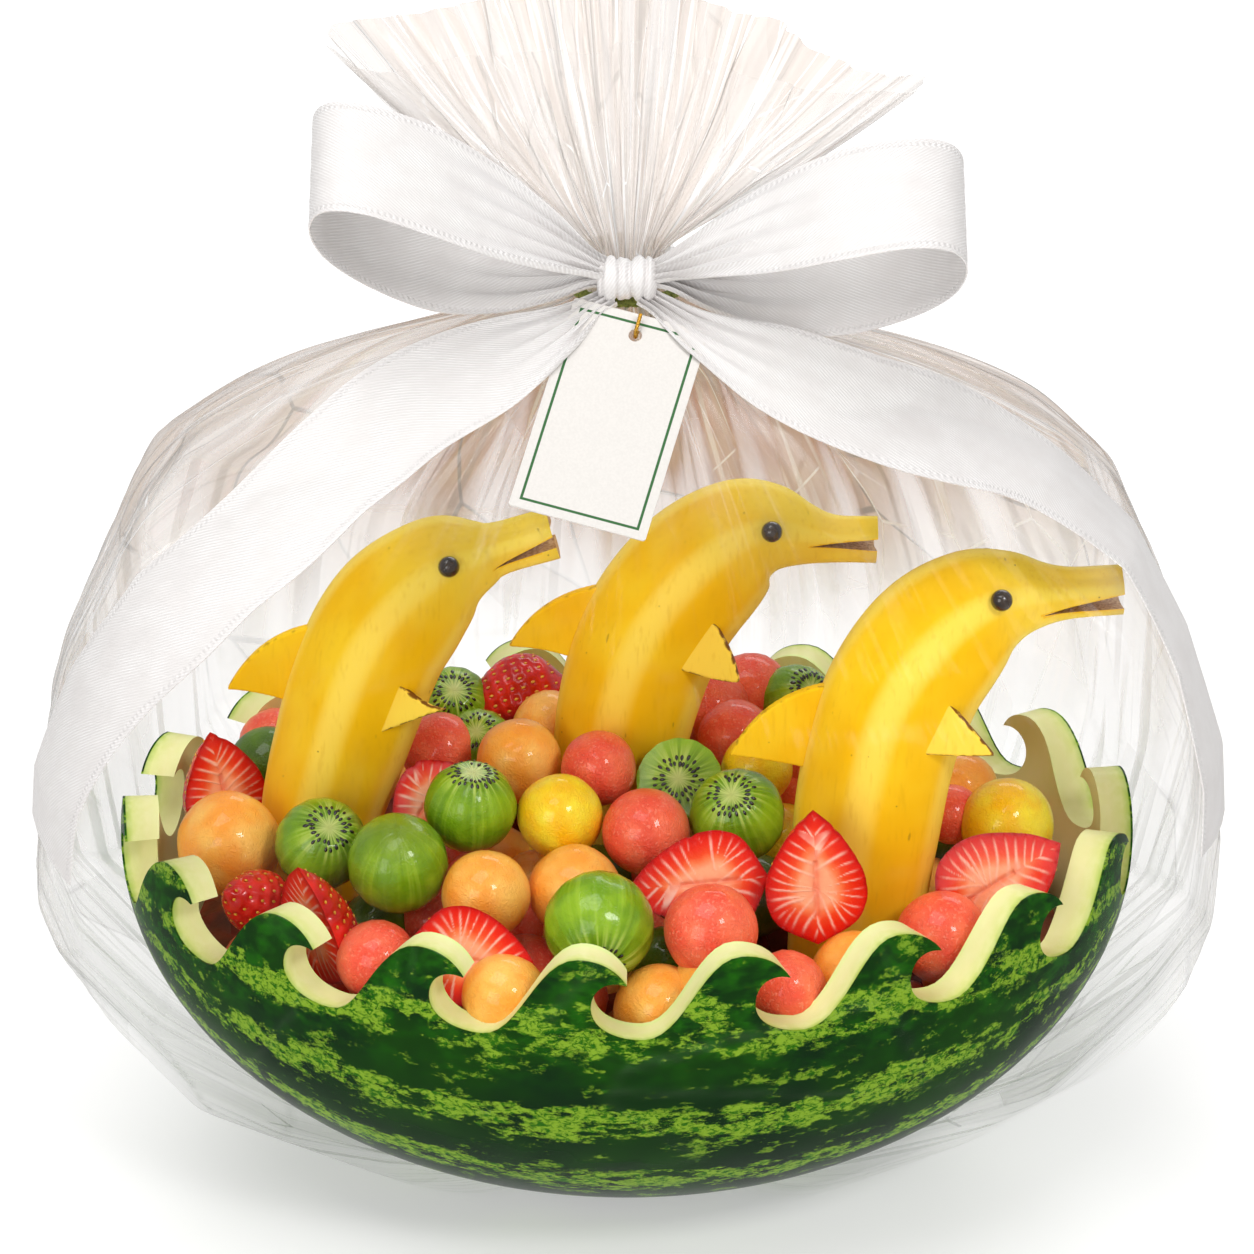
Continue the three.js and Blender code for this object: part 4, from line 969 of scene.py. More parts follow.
def sowKiwi(size, cut, turn, seed):
    radius = size / 2
    flat = math.sqrt(1 - cut ** 2) * radius
    scatter = random.Random(seed)
    for row in range(kiwi["seedRows"]):
        for step in range(2):
            share = 0.15 + 0.6 * step + 0.3 * scatter.random()
            walked = kiwi["seedNear"] + (kiwi["seedFar"] - kiwi["seedNear"]) * share
            if scatter.random() < 0.15:
                continue
            around = 2 * math.pi * (row + 0.5 * step + 0.4 * (scatter.random() - 0.5)) / kiwi["seedRows"]
            if walked <= flat:
                spot = Vector((walked, 0, cut * radius))
                ahead, normal = Vector((1, 0, 0)), Vector((0, 0, 1))
            else:
                angle = math.acos(cut) + (walked - flat) / radius
                normal = Vector((math.sin(angle), 0, math.cos(angle)))
                spot = normal * radius
                ahead = Vector((math.cos(angle), 0, -math.sin(angle)))
            spin = Matrix.Rotation(around, 3, "Z")
            rotate = turn.to_3x3()
            kiwiSeeds.append((turn @ (spin @ (spot * mm)), rotate @ (spin @ ahead), rotate @ (spin @ normal),
                              kiwi["seedLength"] * (0.85 + 0.3 * scatter.random())))


def seedCloud(name, spots, shape, finish):  # many small drops; shape is the share of width and height
    points, faces = [], []
    work = bmesh.new()
    bmesh.ops.create_icosphere(work, subdivisions=2, radius=0.5)
    drop = [v.co.copy() for v in work.verts]
    links = [[v.index for v in f.verts] for f in work.faces]
    work.free()
    for spot, ahead, normal, length in spots:
        side = normal.cross(ahead)
        start = len(points)
        for p in drop:
            thin = 1 - 0.55 * max(0.0, -p.x * 2) ** 1.3  # pointed towards the core
            away = ahead * p.x + side * p.y * shape[0] * thin + normal * p.z * shape[1]
            points.append(spot + away * length * mm)
        faces += [[start + k for k in link] for link in links]
    show(name, toMesh(name, points, faces, 180, outward=False), finish)


def berryLine(length, count):
    girths = berry["girths"]
    shares = np.linspace(-0.5, 0.5, len(girths))
    line = smoothPath(np.c_[np.array(girths) * length, shares * length], count)
    line[:, 0] = np.clip(line[:, 0], 0, None)
    line[0, 0] = line[-1, 0] = 0
    return line


def berryMeshes(name, length, half, seed):
    line = berryLine(length, berry["along"])
    sweep = math.pi if half else fullTurn
    columns = berry["around"] // 2 + 1 if half else berry["around"]
    scatter = random.Random(seed)
    wobble = seed * 2.3
    pips = []
    rows = int(length / berry["pipGap"]) + 1
    for row in range(1, rows):
        z = -length / 2 + length * (row + 0.2) / rows
        girth = np.interp(z, line[:, 1], line[:, 0])
        count = max(3, int(2 * math.pi * girth / berry["pipGap"]))
        for k in range(count):
            turn = 2 * math.pi * (k + 0.5 * (row % 2) + 0.25 * (scatter.random() - 0.5)) / count
            if half and not 0.03 < turn < math.pi - 0.03:
                continue
            pips.append((girth * math.cos(turn), berry["flat"] * girth * math.sin(turn), z))
    pips = np.array(pips)
    points = []
    for girth, z in line:
        for j in range(columns):
            turn = sweep * j / (columns - 1 if half else columns)
            lump = 1 + 0.03 * noise.noise(Vector((math.cos(turn), math.sin(turn), z * 0.07 + wobble)))
            spot = np.array([girth * lump * math.cos(turn), berry["flat"] * girth * lump * math.sin(turn), z])
            near = np.min(np.linalg.norm(pips - spot, axis=1))
            pit = berry["pit"] * math.exp(-(near / 0.95) ** 2)
            puff = 0.22 * min(1, near / 1.8)
            reach = math.hypot(spot[0], spot[1]) or 1
            spot[:2] *= 1 + (puff - pit - 0.1) / max(reach, 1.5)
            points.append(spot)
    skin = toMesh(name, np.array(points) * mm, gridFaces(len(line), columns, not half), 70)
    if not half:
        return skin, None, pips
    # the cut face, with its rays
    right = np.array([points[k * columns] for k in range(len(line))])
    left = np.array([points[k * columns + columns - 1] for k in range(len(line))])
    outline = np.vstack([right, left[::-1]])[:, [0, 2]]
    fine = np.vstack([np.linspace(a, b, 5)[:-1] for a, b in zip(outline, outline[1:])])
    steps = walkedAlong(fine)
    cutPoints, rims, rays, hearts = [], [], [], []
    across = 81
    for i, (girth, z) in enumerate(line):
        for j in range(across):
            share = j / (across - 1)
            x = right[i][0] + (left[i][0] - right[i][0]) * share
            apart = np.hypot(fine[:, 0] - x, fine[:, 1] - z)
            at = int(np.argmin(apart))
            near = apart[at]
            rim = min(1.0, near / (0.24 * length))
            walked = steps[at] + 1.6 * noise.noise(Vector((x * 0.1, z * 0.1, wobble)))
            ray = max(0.0, math.cos(2 * math.pi * walked / berry["rayGap"])) ** (7 - 5 * rim)
            along = z / length
            heart = math.exp(-(x / (0.035 * length)) ** 2) * (1 if -0.3 < along < 0.2 else 0)
            heart *= 0.6 + 0.4 * noise.noise(Vector((x * 0.8, z * 0.5, wobble)))
            uneven = 0.4 + 0.6 * noise.noise(Vector((x * .1, z * .1, 4)))
            dish = 0.35 * (1 - math.exp(-(near / 1.6) ** 2)) * uneven
            split = 0.7 * math.exp(-(x / 0.55) ** 2) * (1 if -0.3 < along < 0.12 else 0)
            cutPoints.append((x, max(0.0, dish) + split - 0.02, z))
            rims.append(rim)
            rays.append(ray)
            hearts.append(heart)
    cut = toMesh(name + "Cut", np.array(cutPoints) * mm, gridFaces(len(line), across, False), 60,
                 {"rim": rims, "ray": rays, "heart": hearts}, outward=False)
    return skin, cut, pips


def joinMeshes(skin, cut):  # the cut face becomes the mesh's second finish
    work = bmesh.new()
    work.from_mesh(skin)
    skinCount = len(work.faces)
    work.from_mesh(cut)
    work.faces.ensure_lookup_table()
    for face in work.faces[skinCount:]:
        face.material_index = 1
    bmesh.ops.remove_doubles(work, verts=work.verts, dist=3e-5)
    bmesh.ops.recalc_face_normals(work, faces=work.faces)
    for edge in work.edges:
        pair = {face.material_index for face in edge.link_faces}
        edge.smooth = len(pair) < 2
    return fromWork(skin.name + "Whole", work, False)


def sowBerry(turn, pips, half):
    rotate = turn.to_3x3()
    for x, y, z in pips:
        if half and y < 0.8:
            continue
        normal = Vector((x, y, 0)).normalized()
        spot = Vector((x, y, z)) * mm - normal * berry["pipIn"] * mm
        pipSpots.append((turn @ spot, rotate @ Vector((0, 0, 1)), rotate @ normal, berry["pipLength"]))


def makeFruit(name, kind, size, place, turn, seed, nodes=()):
    if kind in ("kiwi", "kiwiHalf"):
        cut = kiwi["cut"] if kind == "kiwi" else kiwi["halfCut"]
        mesh = kiwiMesh(name, size, cut, seed)
        turn = place(mesh, turn)
        sowKiwi(size, cut, turn, seed)
        return show(name, mesh, "kiwi", nodes, turn)
    if kind in ("berry", "berryHalf"):
        half = kind == "berryHalf"
        skin, cut, pips = berryMeshes(name, size, half, seed)
        mesh = joinMeshes(skin, cut) if half else skin
        turn = place(mesh, turn)
        sowBerry(turn, pips, half)
        return show(name, mesh, ["berrySkin", "berryCut"][:1 + half], nodes, turn)
    mesh = ballMesh(name, size, seed)
    return show(name, mesh, kind, nodes, place(mesh, turn))


for seed, (node, kind, size, *ways) in enumerate(fruits, 1):
    makeFruit(node + "Fine", kind, size, lambda mesh, turn, node=node: settleOn(mesh, turn, node),
              facing(*ways), seed, [node])
print("fruit pieces made")


# the heap below: the smaller fruit that shows between the pieces, over a core painted dark red as shade

heapFruit = [
    (22, (-101, 50, 101), "watermelon"), (20, (-42, 32, 110), "kiwi"), (22, (-22, 38, 112), "cantaloupe"),
    (22, (-50, 54, 112), "kiwi"), (17, (90, 2, 103), "watermelon"), (21, (94, 18, 103), "cantaloupe"),
    (23, (24, 56, 110), "watermelon"), (24, (36, 68, 109), "watermelon"), (22, (49, 62, 109), "kiwi"),
    (23, (-32, -82, 92), "cantaloupe"), (22, (-66, -66, 94), "watermelon"), (21, (42, -78, 92), "watermelon"),
    (22, (23, -76, 92), "cantaloupe"), (22, (70, 46, 104), "yellowMelon"), (22, (78, 22, 104), "watermelon"),
    (22, (4, 74, 105), "cantaloupe"), (22, (-70, 56, 104), "honeydew"), (22, (-84, 44, 102), "watermelon"),
    (24, (-6, 56, 108), "watermelon"), (22, (56, 30, 106), "watermelon"),
]
heapKinds = ["watermelon", "cantaloupe", "watermelon", "cantaloupe", "yellowMelon", "watermelon", "honeydew"]
heap = {"fillerGap": 17.0, "fillerSize": (19, 24), "sink": 0.009}

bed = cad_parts["fruit_bed"]
bedTree = BVHTree.FromObject(bed, bpy.context.evaluated_depsgraph_get())


def bedTop(x, y):
    hit = bedTree.ray_cast(Vector((x, y, 0.3)), Vector((0, 0, -1)))
    return hit[0].z if hit[0] else None


heapBalls = {kind: [] for kind in ("watermelon", "cantaloupe", "yellowMelon", "honeydew")}
for seed, (size, place, kind) in enumerate(heapFruit, 60):
    if kind == "kiwi":
        made = makeFruit(f"heapKiwi{seed}", kind, size,
                         lambda mesh, turn, p=place: Matrix.Translation(Vector(p) * mm) @ turn,
                         facing((draw.uniform(-0.5, 0.5), -0.6, 0.7)), seed)
        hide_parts("fruit_bed")
    else:
        heapBalls[kind].append((size, Vector(place) * mm, seed))
gap = heap["fillerGap"] * mm
for row in range(-6, 7):
    for column in range(-8, 9):
        x = (column + 0.5 * (row % 2)) * gap + draw.uniform(-2, 2) * mm
        y = row * gap * 0.87 + draw.uniform(-2, 2) * mm
        if (x / 0.112) ** 2 + (y / 0.074) ** 2 > 1:
            continue
        size = draw.uniform(*heap["fillerSize"])
        reach = size / 2 * mm
        tops = [bedTop(x + reach * 0.7 * a, y + reach * 0.7 * b)
                for a, b in ((0, 0), (1, 0), (-1, 0), (0, 1), (0, -1))]
        if None in tops:
            continue
        z = min(tops[0] - reach, min(tops[1:]) - reach * 0.7) - 0.3 * mm
        kind = heapKinds[(column * 3 + row * 5) % len(heapKinds)]
        heapBalls[kind].append((size, Vector((x, y, z)), 100 + row * 17 + column))
for kind, balls in heapBalls.items():
    work = bmesh.new()
    for size, place, seed in balls:
        mesh = ballMesh("part", size, seed, 3)
        mesh.transform(Matrix.Translation(place))
        work.from_mesh(mesh)
        bpy.data.meshes.remove(mesh)
    show(f"heap_{kind}", fromWork(f"heap_{kind}", work), kind, ["fruit_bed"])

# the core is painted dark red as the shade deep in the heap
core = bed.data.copy()
core.transform(Matrix.Translation((0, 0, -heap["sink"])) @ Matrix.Scale(0.95, 4))
core.materials.clear()
core.shade_smooth()
show("heapCore", core, "juice", ["fruit_bed"])
seedCloud("kiwiSeeds", kiwiSeeds, (0.55, 0.34), "seed")
seedCloud("strawberryPips", pipSpots, (0.62, 0.42), "pip")
print("heap, seeds and pips made")


# clear film: gathered round the boat, tied at the neck and fanned out above it

film = {"across": 400, "along": 230, "facets": 130, "facetTo": 236, "softness": 0.45, "low": 0.35,
        "fanFrom": 262, "fanPleats": 46, "fanGather": 0.85, "foldWidth": 1.3, "overRind": 1.012}
# height, half length, half depth, squareness, drop of the ends
wrapRows = [
    [0, 46, 34, 2.2], [8, 72, 53, 2.2], [24, 103, 77, 2.2], [48, 134, 99, 2.3], [78, 156, 115, 2.3],
    [108, 161, 119, 2.4], [140, 157.5, 110, 2.8], [172, 146, 94, 3.4], [200, 131, 76, 4],
    [220, 111, 58, 3.6], [236, 82, 39, 3], [248, 46, 24, 2.4], [254, 22, 15, 2], [258, 13, 11.5, 2],
    [261, 11, 10.5, 2], [265, 10, 10, 2],
]
fanRows = [[271, 11, 10.5, 2, 0], [287, 31, 18, 2, 2], [306, 53, 25, 2, 6], [333, 76, 32, 2, 13]]


def filmRows():
    rows = np.array([[0, 0.5, 0.5, 2.0, 0], [0, 26, 18, 2.1, 0]] + [r + [0] for r in wrapRows] + fanRows, float)
    fine = smoothPath(rows, 1200)
    fine[:, 0] = np.maximum(fine[:, 0], 0)
    fine[:, 3] = np.clip(fine[:, 3], 2, 4)
    walked = np.concatenate([[0], np.cumsum(np.hypot(np.diff(fine[:, 0]), np.diff(fine[:, 1])))])
    even = np.linspace(0, walked[-1], film["along"])
    return np.stack([np.interp(even, walked, fine[:, k]) for k in range(5)], 1), even


def ringOf(row, turns):
    z, length, depth, square, drop = (row[k] for k in range(5))
    cosine, sine = np.cos(turns), np.sin(turns)
    reach = (np.abs(cosine / length) ** square + np.abs(sine / depth) ** square) ** (-1 / square)
    fall = drop * cosine ** 2 * (1 + 0.45 * cosine)
    return np.stack([reach * cosine, reach * sine, z - fall], -1)


def tangentPlanes(rows, centre):  # flat facets that touch the smooth wrap here and there
    scatter = random.Random(5)
    body = rows[(rows[:, 0] > 4) & (rows[:, 0] < 246)]
    normals, reaches = [], []
    golden = math.pi * (3 - math.sqrt(5))
    for k in range(film["facets"]):
        share = (k + 0.5) / film["facets"]
        z = 6 + 238 * share + scatter.uniform(-6, 6)
        at = int(np.clip(np.searchsorted(body[:, 0], z), 1, len(body) - 2))
        turn = golden * k + scatter.uniform(-0.25, 0.25)
        step = 0.02
        here = ringOf(body[at], np.array([turn]))[0]
        aside = ringOf(body[at], np.array([turn + step]))[0] - here
        above = ringOf(body[at + 1], np.array([turn]))[0] - here
        normal = np.cross(aside, above)
        normal /= np.linalg.norm(normal)
        normal += np.array([scatter.gauss(0, 0.05) for _ in range(3)])
        normal /= np.linalg.norm(normal)
        normals.append(normal)
        reaches.append(normal @ (here - centre) + scatter.uniform(-1.2, 0.6))
    return np.array(normals), np.array(reaches)


def ridged(spots, size, seed):  # long folds: 0 in the valleys, 1 on the ridges
    made = np.empty(len(spots))
    for k, p in enumerate(spots):
        made[k] = 1 - abs(noise.noise(Vector((p[0] * size + seed, p[1] * size, p[2] * size)))) * 2.4
    return made


def filmMesh():
    rows, walked = filmRows()
    count = film["across"]
    # even steps round the widest ring rather than even angles; the seam is at the back
    once = np.linspace(math.pi / 2, 2.5 * math.pi, 2001)
    steps = walkedAlong(ringOf(rows[np.argmax(rows[:, 1])], once)[:, :2])
    turns = np.interp(np.arange(count) / count * steps[-1], steps, once)
    girth = steps[-1]
    centre = np.array([0, 0, 110.0])
    normals, reaches = tangentPlanes(rows, centre)
    points = np.array([ringOf(row, turns) for row in rows])  # along, across, 3
    creases = np.zeros(points.shape[:2])
    for r, row in enumerate(rows):
        flatness = np.clip((film["facetTo"] - row[0]) / 50, 0, 1)
        if flatness <= 0 or row[1] < 40:
            continue
        way = points[r] - centre
        far = np.linalg.norm(way, axis=1)
        way /= far[:, None]
        toward = way @ normals.T
        hit = np.where(toward > 0.15, reaches / np.maximum(toward, 0.15), 999.0)
        order = np.argsort(hit, axis=1)[:, :2]
        near = np.take_along_axis(hit, order, axis=1)
        soft = -film["softness"] * np.log(np.exp(-(hit - near[:, :1]) / film["softness"]).sum(1)) + near[:, 0]
        mix = flatness * np.clip(row[0] / 8, 0, 1)
        points[r] = centre + way * (far + (np.minimum(soft, far * 1.05) - far) * mix)[:, None]
        bend = np.linalg.norm(np.cross(normals[order[:, 0]], normals[order[:, 1]]), axis=1)
        apart = (near[:, 1] - near[:, 0]) / np.maximum(bend, 0.05)  # mm from the fold
        # bright: how strongly each fold is painted as a highlight in the film's finish
        bright = 0.5 + 0.5 * np.sin(order[:, 0] * 12.9 + order[:, 1] * 12.9)
        creases[r] = np.exp(-(apart / film["foldWidth"]) ** 2) * mix * bright * np.clip(bend * 3, 0, 1)
    # long folds that run down from the neck, and the pleats of the fan
    spin = np.stack([np.cos(turns), np.sin(turns)], 1)
    gathers, sides, backs = (np.zeros(points.shape[:2]) for _ in range(3))
    for r, row in enumerate(rows):
        z = row[0]
        below = np.clip((z - 120) / 130, 0, 1)
        fan = np.clip((z - film["fanFrom"]) / 60, 0, 1)
        spots = np.column_stack([spin * 3.2, np.full(count, z * 0.006)])
        fold = ridged(spots, 2.2, 3.0)
        fine = ridged(np.column_stack([spin * 3.2, np.full(count, z * 0.003)]), 6.5, 9.0)
        smoothFold = ridged(np.column_stack([spin * 1.2, np.full(count, 0.0)]), 1.6, 5.0)
        if z < film["fanFrom"]:
            grow = 0.35 + 2.6 * below ** 1.5 * min(1, max(0.25, row[1] / 60))
            push = (fold - 0.55) * grow + (fine - 0.5) * grow * 0.5
            push = np.minimum(push, 1.2) * min(1, z / 25)
        else:
            zigzag = np.abs(((turns * film["fanPleats"] / (2 * math.pi) + 0.8 * fold) % 1) * 2 - 1)
            push = (zigzag - 0.5) * (0.5 + 1.3 * fan) + (fold - 0.5) * 3 * fan + (fine - 0.5) * 0.6 * fan
        points[r, :, :2] += spin * push[:, None]
        if z > 300:
            points[r, :, 2] += (smoothFold - 0.5) * 5 * (z - 300) / 34
        toFan = film["fanFrom"] - z
        gathers[r] = math.exp(-(toFan / 25) ** 2) if toFan > 0 else film["fanGather"]
        if z > 285:  # the rim at the front is clearer than the one behind
            gathers[r] *= 1 - 0.75 * min(1, (z - 285) / 35) * np.clip(0.3 - spin[:, 1], 0, 1)
        ahead = np.clip(-spin[:, 1] / 0.25, 0, 1)  # 1 on the half towards the front, which stays clear
        across = np.abs(points[r, :, 0]) / max(row[1], 1)
        ends = np.clip((np.abs(spin[:, 0]) - 0.55) / 0.4, 0, 1) * (1 - ahead)
        ends = ends + ahead * np.clip((across - 0.87) / 0.11, 0, 1)
        low = np.clip((50 - z) / 35, 0, 1) * np.clip((across - 0.6) / 0.25, 0, 1)
        sides[r] = np.maximum(ends * np.clip((250 - z) / 30, 0, 1), 0.42 * low)
        # behind and back: how much of the wall behind shows, which the finish paints beige as a reflection of the
        # fruit
        behind = np.clip(spin[:, 1] / 0.5 + 0.4, 0, 1)
        backs[r] = behind * (1 - 0.55 * ends) * np.clip((z - 80) / 100, 0, 1)
        if z > film["fanFrom"]:
            backs[r] = 0.3 * behind
    points[:, :, 2] = np.maximum(points[:, :, 2], film["low"])
    # kept outside the melon's rind
    length, radius, middle = (melon[k] / mm for k in ("halfLength", "radius", "middle"))
    up = (points[:, :, 2] - middle) / radius
    share = np.sqrt((points[:, :, 0] / length) ** 2 + (points[:, :, 1] / radius) ** 2 + up ** 2)
    inside = (share < film["overRind"]) & (points[:, :, 2] < 90) & (points[:, :, 2] > 3)
    points[:, :, :2] *= np.where(inside, film["overRind"] / share, 1.0)[:, :, None]
    mesh = toMesh("filmWrap", points.reshape(-1, 3) * mm, gridFaces(len(rows), count), 180,
                  {"gather": gathers.ravel(), "crease": creases.ravel(), "side": sides.ravel(),
                   "back": backs.ravel()}, outward=False)
    layer = mesh.uv_layers.new(name="strip")
    spots = np.empty((len(mesh.loops), 2), np.float32)
    for face in mesh.polygons:
        columns = [v % count for v in face.vertices]
        last = max(columns) == count - 1 and min(columns) == 0
        for loop, vertex, column in zip(face.loop_indices, face.vertices, columns):
            across = count if last and column == 0 else column
            spots[loop] = (across / count * girth * mm, walked[vertex // count] * mm)
    layer.data.foreach_set("uv", spots.ravel())
    return mesh


filmSheet = show("filmWrap", filmMesh(), "film", ["film_wrap"])
# clear film throws next to no shadow
filmSheet.visible_shadow = filmSheet.visible_diffuse = filmSheet.visible_glossy = False
print("film made")


# satin ribbon: strips with their width and length as texture axes

ribbon = {"width": 32, "thickness": 0.35, "across": 28, "stations": 150, "gathers": 4.5}
knotCentre = Vector((0, -17.2, 267.3))
acrossRibbon = Vector((0, -0.766, -0.643))
overRibbon = Vector((0, -0.643, 0.766))


def stripMesh(name, centres, widths, acrosses, overs, folds, place=None):
    # folds: how deep the gathers are at each station, in mm
    columns = ribbon["across"]
    centres = np.array(centres)
    walked = walkedAlong(centres)
    sheets = []
    for side in (0.5, -0.5):
        rows = []
        for k, (centre, width, across, over, fold) in enumerate(zip(centres, widths, acrosses, overs, folds)):
            row = []
            for c in range(columns + 1):
                share = 0.5 - c / columns
                spot = centre + across * share * width
                spot = place(spot) if place else spot
                ripple = math.cos(fullTurn * (ribbon["gathers"] * share + 0.12 * math.sin(walked[k] * 0.06)))
                ripple += 0.4 * math.cos(fullTurn * (2.3 * ribbon["gathers"] * share + 0.3))
                row.append(spot + over * (side * ribbon["thickness"] + ripple * fold))
            rows.append(row)
        sheets.append(rows)
    front, back = sheets
    ring = [list(f) + list(reversed(b)) for f, b in zip(front, back)]
    sides = len(ring[0])
    points = np.array(ring).reshape(-1, 3) * mm
    faces = gridFaces(len(ring), sides)
    for end in (0, len(ring) - 1):
        start = end * sides
        for c in range(columns):
            faces.append((start + c, start + c + 1, start + sides - 2 - c, start + sides - 1 - c))
    flat = [(0.5 - min(c, sides - 1 - c) / columns) * ribbon["width"] * mm for c in range(sides)]
    spots = [(across, along * mm) for along in walked for across in flat]
    return layStrip(toMesh(name, points, faces, 60), spots), walked[-1] * mm


# how far along the loop, how far over it, and the width there
loopPath = [
    [0.03, 0.6, 6], [0.12, 2.6, 8], [0.24, 7.5, 17], [0.42, 13.5, 27], [0.62, 18.5, 32], [0.82, 18.5, 32],
    [0.95, 13, 32], [1, 2, 32], [0.96, -10, 32], [0.82, -18, 32], [0.62, -20, 32],
    [0.42, -15.5, 27], [0.24, -8.5, 17], [0.12, -2.6, 8], [0.03, -0.6, 6],
]


def loopPiece(name, axis, node):
    path = smoothPath(loopPath, ribbon["stations"])
    axis = np.array(axis, float)
    centres = np.array(knotCentre) + path[:, :1] * axis + path[:, 1:2] * np.array(overRibbon)
    overs = unit(np.cross(np.gradient(centres, axis=0), np.array(acrossRibbon)))
    folds = 1.25 * np.clip((0.62 - path[:, 0]) / 0.5, 0, 1) ** 1.2 + 0.05
    acrosses = np.tile(np.array(acrossRibbon), (len(path), 1))
    mesh, length = stripMesh(name, centres, path[:, 2], acrosses, overs, folds)
    piece = show(name, mesh, "satin", [node])


tailPaths = {
    "left": [
        [-4, -19.5, 263.5, 6], [-9, -21.5, 261, 7], [-18, -28, 257, 14], [-34, -33, 250, 26], [-56, -38, 240, 31],
        [-73, -46, 228, 32], [-89, -56, 215, 32], [-104, -62, 203, 32], [-119, -66, 189, 32],
        [-131, -64, 174, 32], [-141, -60, 156, 32], [-147, -56, 138, 32], [-149.5, -53, 121, 32],
    ],
    "right": [
        [4, -19.5, 263.5, 6], [9, -21.5, 261, 7], [20, -28, 256, 14], [38, -31, 248, 25], [62, -32.5, 238, 30],
        [88, -31, 228.5, 32], [112, -33, 216, 32], [128, -34, 202, 32], [137, -35, 188, 32],
        [143, -37, 173, 32], [148, -40, 157, 32], [151, -42, 139, 32], [152, -43, 121, 32],
    ],
}
tailLift = 3.0


def wrapAt(z):
    rows = np.array(wrapRows, float)
    return [np.interp(z, rows[:, 0], rows[:, k]) for k in (1, 2, 3)]


def clearOfWrap(spot):
    if spot[2] > 265:
        return spot
    length, depth, square = wrapAt(spot[2])
    share = (abs(spot[0]) / (length + tailLift)) ** square + (abs(spot[1]) / (depth + tailLift)) ** square
    if share >= 1:
        return spot
    scale = share ** (-1 / square)
    return np.array([spot[0] * scale, spot[1] * scale, spot[2]])


def tailPiece(name, path, node):
    path = smoothPath(path, ribbon["stations"])
    centres, widths = path[:, :3], np.clip(path[:, 3], 5, ribbon["width"])
    ahead = unit(np.gradient(centres, axis=0))
    acrosses, overs = [], []
    for centre, way in zip(centres, ahead):
        length, depth, square = wrapAt(min(centre[2], 252))
        over = np.array([math.copysign(abs(centre[0] / length) ** (square - 1) / length, centre[0]),
                         -abs(centre[1] / depth) ** (square - 1) / depth, 0])
        over /= np.linalg.norm(over)
        share = min(1, max(0, (centre[2] - 180) / 20))
        over[2] = (centre[2] - 100) / 100 * (1 - share) + 0.9 * share
        over /= np.linalg.norm(over)
        across = np.cross(over, way)
        across /= np.linalg.norm(across)
        acrosses.append(across)
        overs.append(np.cross(way, across))
    folds = 1.1 * np.clip((26 - widths) / 20, 0, 1) ** 1.2 + 0.05
    mesh, length = stripMesh(name, centres, widths, acrosses, overs, folds, clearOfWrap)
    piece = show(name, mesh, "satin", [node])
    return piece


loopPiece("ribbonLoopLeft", (-80, -7, 29), "ribbon_loop_left")
loopPiece("ribbonLoopRight", (86, -7, 18), "ribbon_loop_right")
tails = [tailPiece("ribbonTailLeft", tailPaths["left"], "ribbon_tail_left"),
         tailPiece("ribbonTailRight", tailPaths["right"], "ribbon_tail_right")]


# the film is pressed in where it would stand out through a tail
press = {"from": 110, "to": 262, "reach": 14, "under": 1.1, "spread": 0.75}


def pressFilm(tails):
    mesh = filmSheet.data
    spots = coordinates(mesh)
    inward = spots * (-1, -1, 0)
    inward /= np.maximum(np.linalg.norm(inward, axis=1), 1e-6)[:, None]
    push = np.zeros(len(spots))
    trees = [BVHTree.FromPolygons([v.co for v in sheet.vertices], [list(f.vertices) for f in sheet.polygons])
             for sheet in (tail.data for tail in tails)]
    for k in np.flatnonzero((spots[:, 2] > press["from"] * mm) & (spots[:, 2] < press["to"] * mm)):
        for tree in trees:
            distance = tree.ray_cast(Vector(spots[k]), Vector(inward[k]), press["reach"] * mm)[3]
            if distance is not None:
                push[k] = max(push[k], distance + press["under"] * mm)
    grid = push[:len(spots) // film["across"] * film["across"]].reshape(-1, film["across"])
    for _ in range(3):
        near = np.max([np.roll(grid, step, axis) for step in (-1, 1) for axis in (0, 1)], axis=0)
        grid = np.maximum(grid, near * press["spread"])
    spots[:grid.size] += inward[:grid.size] * grid.reshape(-1, 1)
    mesh.vertices.foreach_set("co", spots.ravel())
    mesh.update()
    print("film pressed in at", int((push > 0).sum()), "points, by at most", round(push.max() / mm, 1), "mm")


pressFilm(tails)
print("ribbons made")


# the knot: a gathered band over the neck, and a collar of ribbon round it

knotSet = {"halfLength": 7.6, "radius": 6.0, "folds": [-6.0, -2.4, 1.0, 4.6], "foldWidth": 0.55,
           "foldDepth": 0.16, "collarIn": 11.4, "collarOut": 12.6, "collarLow": 262.6, "collarHigh": 269.8}


def knotMesh():
    half, radius = knotSet["halfLength"], knotSet["radius"]
    outline = smoothPath([[0, -half], [3.6, -half], [5.6, -6.2], [6, -3.6], [5.3, -0.6], [5.4, 1.2], [6.05, 3.6],
                          [5.6, 6.2], [3.6, half], [0, half]], 120)
    sides = 96
    points, spots = [], []
    for reach, x in outline:
        for turn in roundTurns(sides):
            crease = 0
            for fold in knotSet["folds"]:
                sway = 0.5 * math.sin(turn * 1.5 + fold)
                crease += math.exp(-((x - fold - sway) / knotSet["foldWidth"]) ** 2)
            fine = 0.18 * noise.noise(Vector((x * 1.6, math.cos(turn) * 0.8, math.sin(turn) * 0.8)))
            girth = reach * (1 - knotSet["foldDepth"] * min(1, crease) * min(1, reach / 3)) + fine
            points.append(knotCentre + Vector((x, girth * math.cos(turn), girth * math.sin(turn))))
            spots.append((x * mm, turn * radius * mm))
    return layStrip(toMesh("ribbonKnot", np.array(points) * mm, gridFaces(len(outline), sides), 180), spots)


